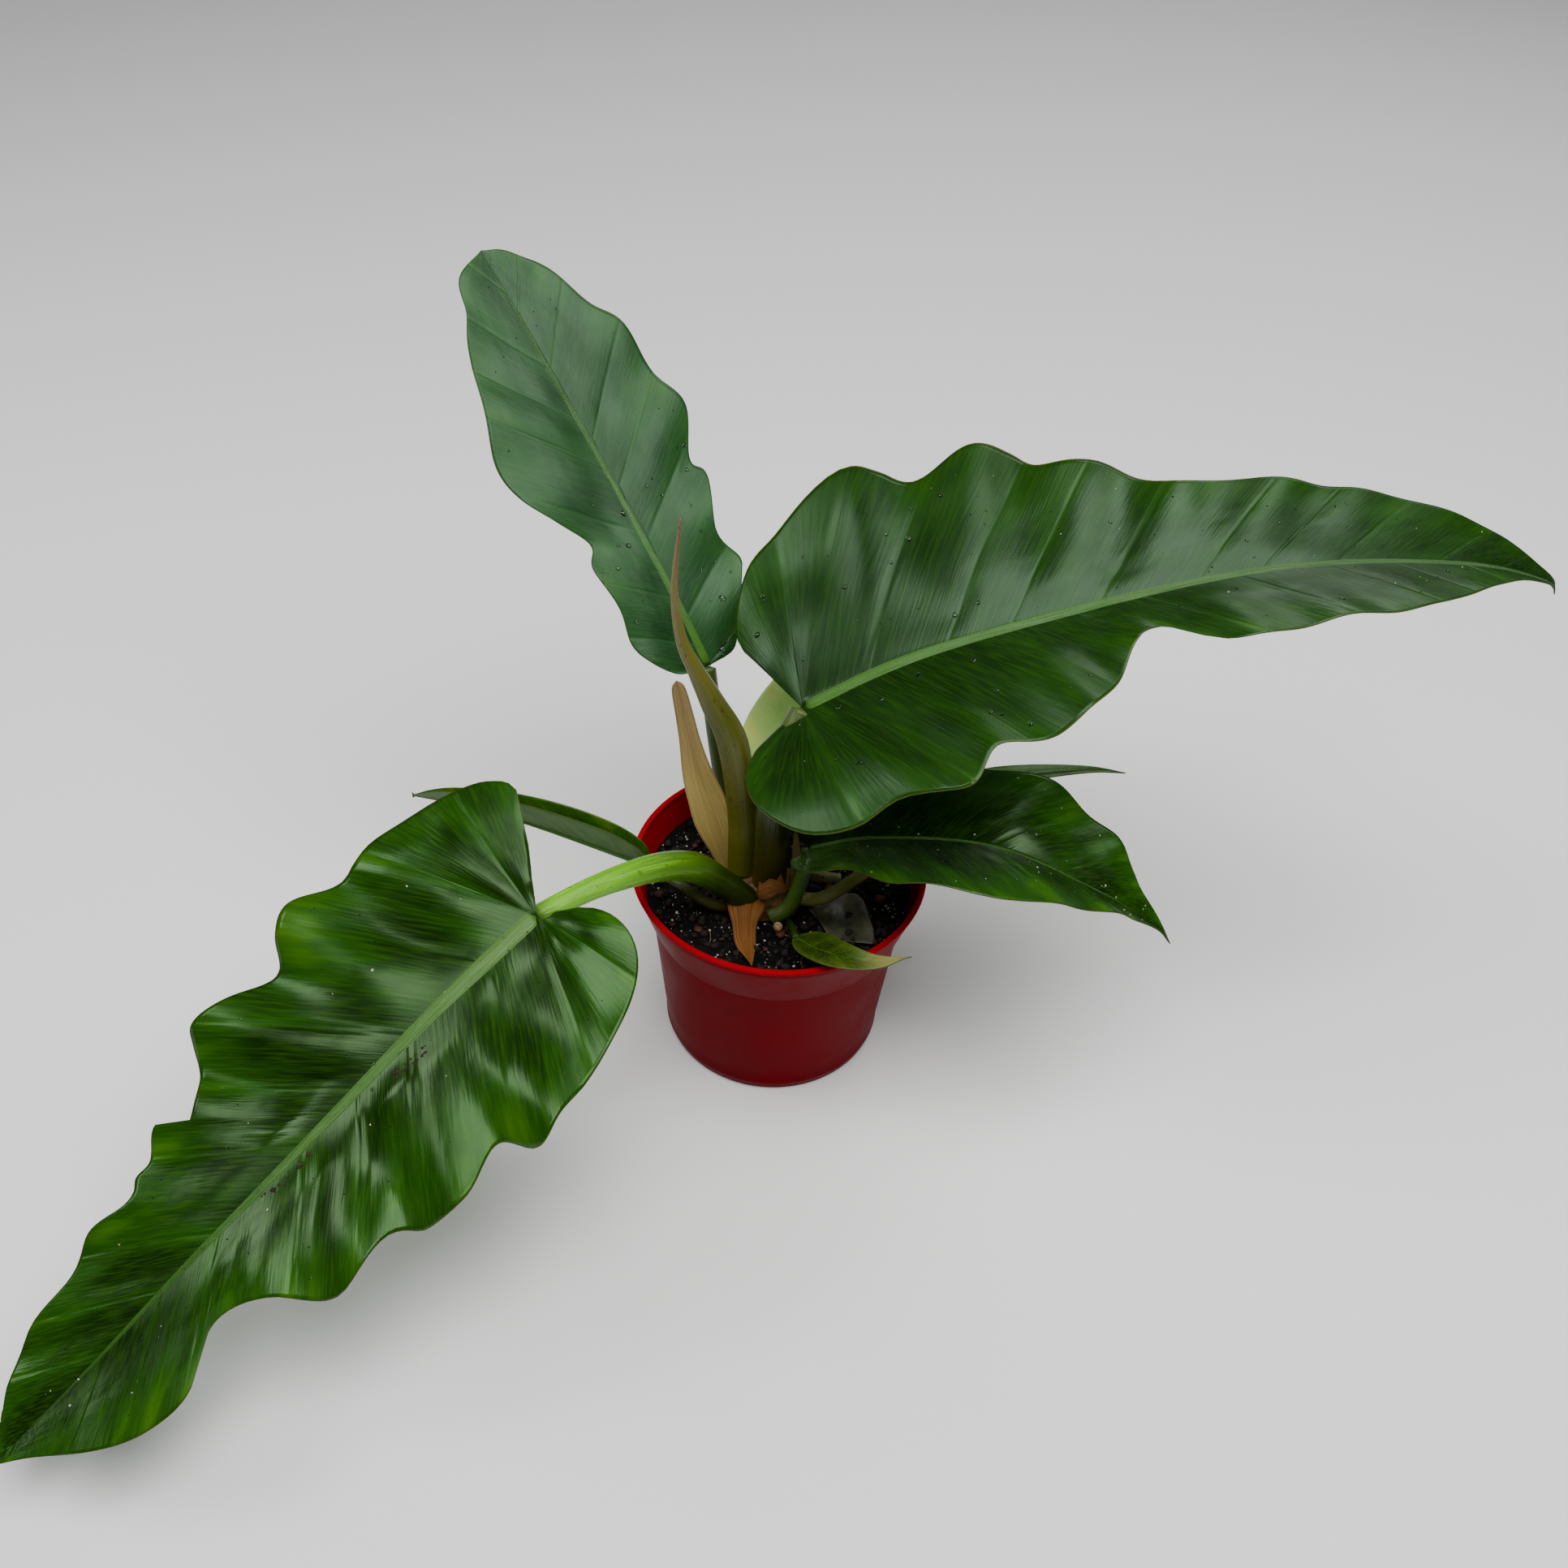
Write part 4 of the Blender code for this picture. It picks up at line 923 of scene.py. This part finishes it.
settle(pot, "pot", slot="red_plastic")
print("pot", len(pot.data.polygons), "faces")

# %% [markdown]
# ## Potting mix
# The mix is black peat with white grains of perlite, short brown fibres and a few chips of bark.
# Its surface is turned like the pot, and then pushed up and down by a fractal noise. The loose
# grains are small rough balls with only a few faces each, because there are hundreds of them. A
# particle system could strew them, but each kind is one real mesh here, which moves as one piece.

# %% Potting mix surface
CROWN_X, CROWN_Y = -5.0, -8.0


def soil_lift(x, y):
    """How far the surface stands above its level at a place, in millimetres."""
    place = Vector((x / 9, y / 9, 4.2))
    rough = noise.fractal(place, 0.9, 2.2, 6) * 1.6
    heap = 1.2 * math.exp(-((x - CROWN_X) ** 2 + (y - CROWN_Y) ** 2) / 900)
    return rough + heap - 0.9


def bumpy(points):
    """Lift the points that lie on the top of the plug."""
    top = points[..., 2] > SOIL_TOP - 1e-6
    for row, column in np.argwhere(top):
        x, y, z = points[row, column]
        points[row, column, 2] = z + soil_lift(x, y)
    return points


profile = [(0, 1.6), (inner_radius(1.6) - 3.4, 1.6), (inner_radius(4.6) - 0.3, 4.6),
           (inner_radius(COLLAR_FOOT - 1) - 0.3, COLLAR_FOOT - 1),
           (inner_radius(COLLAR_FOOT) - 0.3, COLLAR_FOOT), (INNER, SOIL_TOP)]
profile += [(radius, SOIL_TOP) for radius in np.linspace(INNER - 0.8, 0, 70)]
peat, tree, shader = new_material("moist black peat", Roughness=0.82, Specular_IOR_Level=0.15)
place = add(tree, "TexCoord", {}, "Object")
clods = add(tree, "TexNoise", {"Vector": place, "Scale": per(3.846), "Detail": 6.0})
colour = add(tree, "ValToRGB", {0: clods}, stops=[(0.35, "#010101"), (0.6, "#0C0906"), (0.8, "#2A1E14")])
dress(tree, shader, colour, clods, 0.0022)
ground = lathe_piece("potting_mix", profile, 220, [peat], bumpy)
settle(ground, "soil", slot="potting_mix")
print("potting mix", len(ground.data.polygons), "faces")


# %% Rough skins
def rough_skin(name, low, high, shine, size=1.4286):
    """A rough skin whose colour wanders between two tones, over a size in millimetres."""
    made, tree, shader = new_material(name, Roughness=shine, Specular_IOR_Level=0.35)
    place = add(tree, "TexCoord", {}, "Object")
    cloud = add(tree, "TexNoise", {"Vector": place, "Scale": per(size), "Detail": 3.0})
    colour = add(tree, "ValToRGB", {0: cloud}, stops=[(0.35, low), (0.65, high)])
    dress(tree, shader, colour, cloud, 0.0003)
    return made


# Peat takes in nearly all light, expanded perlite scatters it as white, and bark and coir are dull.
PEAT_CRUMB = rough_skin("peat crumb", "#040302", "#241A12", 0.85)
PERLITE = rough_skin("expanded perlite grain", "#8E8A80", "#CFCCC2", 0.8)
BARK = rough_skin("bark chip", "#241308", "#5C3417", 0.8, 3.333)
FIBRE = rough_skin("coir fibre", "#3C2714", "#8A6A44", 0.7)
DUST = rough_skin("dark dust speck", "#100C06", "#2A2010", 0.8)


# %% Grains
def grains(name, places, skin, slot, lumpy=0.3, seed=1, detail=1, flat=1.0):
    """Many small rough balls as one piece. Each place is (point, normal, radius) in millimetres."""
    chance = random.Random(seed)
    heap = bmesh.new()
    for point, normal, radius in places:
        turn = Vector(normal).to_track_quat("Z", "Y").to_matrix().to_4x4()
        spin = Matrix.Rotation(chance.uniform(0, 6.28), 4, "Z")
        form = Matrix.Diagonal((chance.uniform(0.75, 1.25), chance.uniform(0.75, 1.25), flat, 1))
        grain = Matrix.Translation(Vector(point) * MM) @ turn @ spin @ form
        made = bmesh.ops.create_icosphere(heap, subdivisions=detail, radius=radius * MM, matrix=grain)
        for vert in made["verts"]:
            away = vert.co - Vector(point) * MM
            vert.co = Vector(point) * MM + away * (1 + chance.uniform(-lumpy, lumpy))
    mesh = bpy.data.meshes.new(name)
    heap.to_mesh(mesh)
    heap.free()
    mesh.shade_smooth()
    mesh.materials.append(skin)
    piece = bpy.data.objects.new(name, mesh)
    bpy.context.collection.objects.link(piece)
    return settle(piece, slot=slot)


# %% Strewn places
def strewn(count, low, high, seed, sunk=0.3):
    """Random places on the mix, clear of the crown, with radii between two limits."""
    chance = random.Random(seed)
    found = []
    while len(found) < count:
        size = chance.uniform(0, 1) ** 2.2 * (high - low) + low
        reach = math.sqrt(chance.uniform(0, 1)) * (INNER - 1.2 * size - 0.6)
        turn = chance.uniform(0, 2 * math.pi)
        x, y = reach * math.cos(turn), reach * math.sin(turn)
        if math.hypot(x - CROWN_X, y - CROWN_Y) < 18 + size:
            continue
        found.append(((x, y, SOIL_TOP + soil_lift(x, y) + size * (1 - 2 * sunk)), (0, 0, 1), size))
    return found


# %% Crumbs, perlite and bark
grains("peat_crumbs", strewn(900, 0.35, 2.3, 21), PEAT_CRUMB, "potting_mix", 0.35, 2)
grains("perlite_grains", strewn(620, 0.16, 0.7, 22), PERLITE, "potting_mix", 0.25, 3)
grains("bark_chips", strewn(26, 1.2, 3.0, 23, 0.1), BARK, "potting_mix", 0.4, 4, flat=0.4)

# %% Fibres
chance = random.Random(31)
for index in range(26):
    reach, turn = chance.uniform(22, INNER - 6), chance.uniform(0, 2 * math.pi)
    heading, bend = chance.uniform(0, 2 * math.pi), chance.uniform(-0.5, 0.5)
    x, y = reach * math.cos(turn), reach * math.sin(turn)
    if math.hypot(x - CROWN_X, y - CROWN_Y) < 24:
        continue
    line = []
    for step in range(4):
        if math.hypot(x, y) > INNER - 2:
            break
        line.append((x, y, SOIL_TOP + soil_lift(x, y) + 0.7 + chance.uniform(-0.3, 1.0)))
        x += 3.2 * math.cos(heading + bend * step)
        y += 3.2 * math.sin(heading + bend * step)
    if len(line) > 2:
        tube(f"fibre_{index}", Stalk(line), (0.12, 0.28, 0.22, 0.08), FIBRE, "potting_mix", 6, 12)

# %% [markdown]
# ## Crown, nodule and scrap
# The leaves stand on a short crown. Old leaf scars ring it, and its skin is brown and corky between
# them. A pale root nodule sits beside it, and a curled scrap of a dead leaf lies on the mix. The
# crown could be sculpted, but turning it from a stepped profile and roughening it with noise keeps
# its scars level and its size easy to change.

# %% Crown
crown_profile = [(0, -14), (12, -13), (16, -8), (17, -2), (17, 1.5), (16.2, 2.2), (16.8, 3.6), (16, 5.2),
                 (14.6, 5.8), (14.8, 7.2), (13, 8.8), (10.6, 9.2), (9.4, 10.2), (5, 11), (0, 11)]


def corky(points):
    """Roughen the crown's skin and set it on its place."""
    for row, column in np.ndindex(points.shape[:2]):
        x, y, z = points[row, column]
        swell = 1 + 0.06 * noise.fractal(Vector((x / 5, y / 5, z / 3)), 1.0, 2.0, 4) - 0.03
        points[row, column] = (x * swell + CROWN_X, y * swell + CROWN_Y, z)
    return points


CROWN_SKIN = rough_skin("corky brown crown skin", "#3A2A10", "#7A5A2C", 0.7, 3.846)
crown = lathe_piece("crown", [(radius, SOIL_TOP + height) for radius, height in crown_profile], 96,
                    [CROWN_SKIN], corky)
modify(crown, "SUBSURF", levels=1, render_levels=1)
settle(crown, "crown_stem", slot="crown_skin")
print("crown", len(crown.data.polygons), "faces")

# %% Nodule
NODULE_SKIN = rough_skin("pale root nodule skin", "#7A5E3C", "#B09A78", 0.55, 2.0)
grains("nodule", [((1, -30, SOIL_TOP + 4), (0, 0, 1), 1.95)], NODULE_SKIN, "root_white", 0.03, 6, 3)
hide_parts("root_nodule")

# %% Dead leaf
heart_reach = INNER - 26
heart = (heart_reach * math.cos(math.radians(-35)), heart_reach * math.sin(math.radians(-35)))
scrap_outline = np.array([(-14, 3), (8, 13), (16, -13), (12, -17), (-2, -14), (-8, -5), (-14, 3)], float)
border = spline(scrap_outline, 8)
rings = np.linspace(0, 1, 14)[:, None, None] * border[None]
crumple = [[noise.fractal(Vector((x / 7, y / 7, 9.0)), 1.0, 2.0, 3) for x, y in ring] for ring in rings]
height = SOIL_TOP + 1.3 + 0.08 * np.abs(rings[..., 0]) + 0.8 * np.array(crumple)
scrap_points = np.concatenate([rings + np.array(heart), height[..., None]], -1)
DEAD = rough_skin("translucent dead leaf tissue", "#24261A", "#4A4832", 0.45, 8.333)
scrap = grid_piece("dead_leaf", len(border) - 1, 13, scrap_points, [DEAD])
modify(scrap, "SOLIDIFY", thickness=0.35 * MM, offset=1)
settle(scrap, "leaf_scrap", slot="dead_grey")
print("dead leaf", len(scrap.data.polygons), "faces")

# %% [markdown]
# ## Water and dust
# The plant has been sprayed. Drops stand on the basal lobes and on the leaf at the back, and fine
# black and white specks of potting mix stick to the blades. They are set on points of the blades'
# own grids, with the surface direction there, so that each drop sits flat on the skin. Bumps in the
# leaf's material could suggest them, but real drops bend the light and catch a glint of their own.


# %% Places on a blade
def on_blade(name, count, low, high, seed, rows=(0.05, 0.9), lift=0.25, columns=(0.06, 0.94)):
    """Random places on a blade's upper surface, with radii between two limits."""
    chance = random.Random(seed)
    points = leaves[name].points
    normals = unit(np.cross(np.gradient(points, axis=1), np.gradient(points, axis=0)) + (0, 0, 1e-9))
    normals = np.where(normals[..., 2:] < 0, -normals, normals)
    found = []
    for _ in range(count):
        row = int(len(points) * chance.uniform(*rows))
        column = int(points.shape[1] * chance.uniform(*columns))
        size = chance.uniform(0, 1) ** 2 * (high - low) + low
        place = points[row, column] + normals[row, column] * lift
        found.append((tuple(place), tuple(normals[row, column]), size))
    return found


# %% Water
# Water is clear and smooth, so a drop shows as a small glint and a bent view of the leaf.
water, tree, shader = new_material("clear water drop", Roughness=0.02, IOR=1.33, Transmission_Weight=1.0)
place = add(tree, "TexCoord", {}, "Object")
cloud = add(tree, "TexNoise", {"Vector": place, "Scale": per(3.333)})
colour = add(tree, "ValToRGB", {0: cloud}, stops=[(0.0, "#F2F6F4"), (1.0, "#FFFFFF")])
tree.links.new(colour, shader.inputs["Base Color"])
drops = on_blade("blade_C", 46, 0.5, 1.7, 41, (0.02, 0.3))
drops += on_blade("blade_B", 40, 0.5, 1.6, 42, (0.02, 0.45))
drops += on_blade("blade_C", 16, 0.4, 1.0, 43, (0.3, 0.9)) + on_blade("blade_A", 18, 0.4, 0.9, 44)
grains("water_drops", drops, water, "leaf_green", 0.02, 7, 2, 0.5)
print("water drops", len(drops))

# %% Specks and scabs
specks = on_blade("blade_A", 90, 0.15, 0.5, 45) + on_blade("blade_B", 70, 0.15, 0.45, 46)
specks += on_blade("blade_C", 90, 0.15, 0.55, 47) + on_blade("blade_D", 20, 0.15, 0.4, 48)
grains("dark_specks", specks, DUST, "potting_mix", 0.3, 8, 1, 0.6)
white = on_blade("blade_D", 60, 0.15, 0.55, 49) + on_blade("blade_A", 18, 0.15, 0.6, 50)
white += on_blade("blade_C", 16, 0.15, 0.4, 51)
grains("white_specks", white, PERLITE, "potting_mix", 0.3, 9, 1, 0.7)
SCAB = rough_skin("brown corky scab", "#160C04", "#3A2410", 0.7)
scabs = on_blade("blade_A", 26, 0.4, 1.1, 52, (0.3, 0.36), 0.2, (0.545, 0.57))
scabs += on_blade("blade_A", 24, 0.4, 1.2, 53, (0.5, 0.58), 0.2, (0.535, 0.56))
scabs += on_blade("blade_A", 6, 0.3, 0.7, 54, (0.13, 0.2), 0.9, (0.49, 0.51))
grains("scabs", scabs, SCAB, "leaf_green", 0.3, 10, 1, 0.25)
print("specks", len(specks) + len(white), "scabs", len(scabs))

# %% [markdown]
# ## Finish
# Last, the view layer is brought up to date. The plant must not be larger.

# %% Finish
bpy.context.view_layer.update()
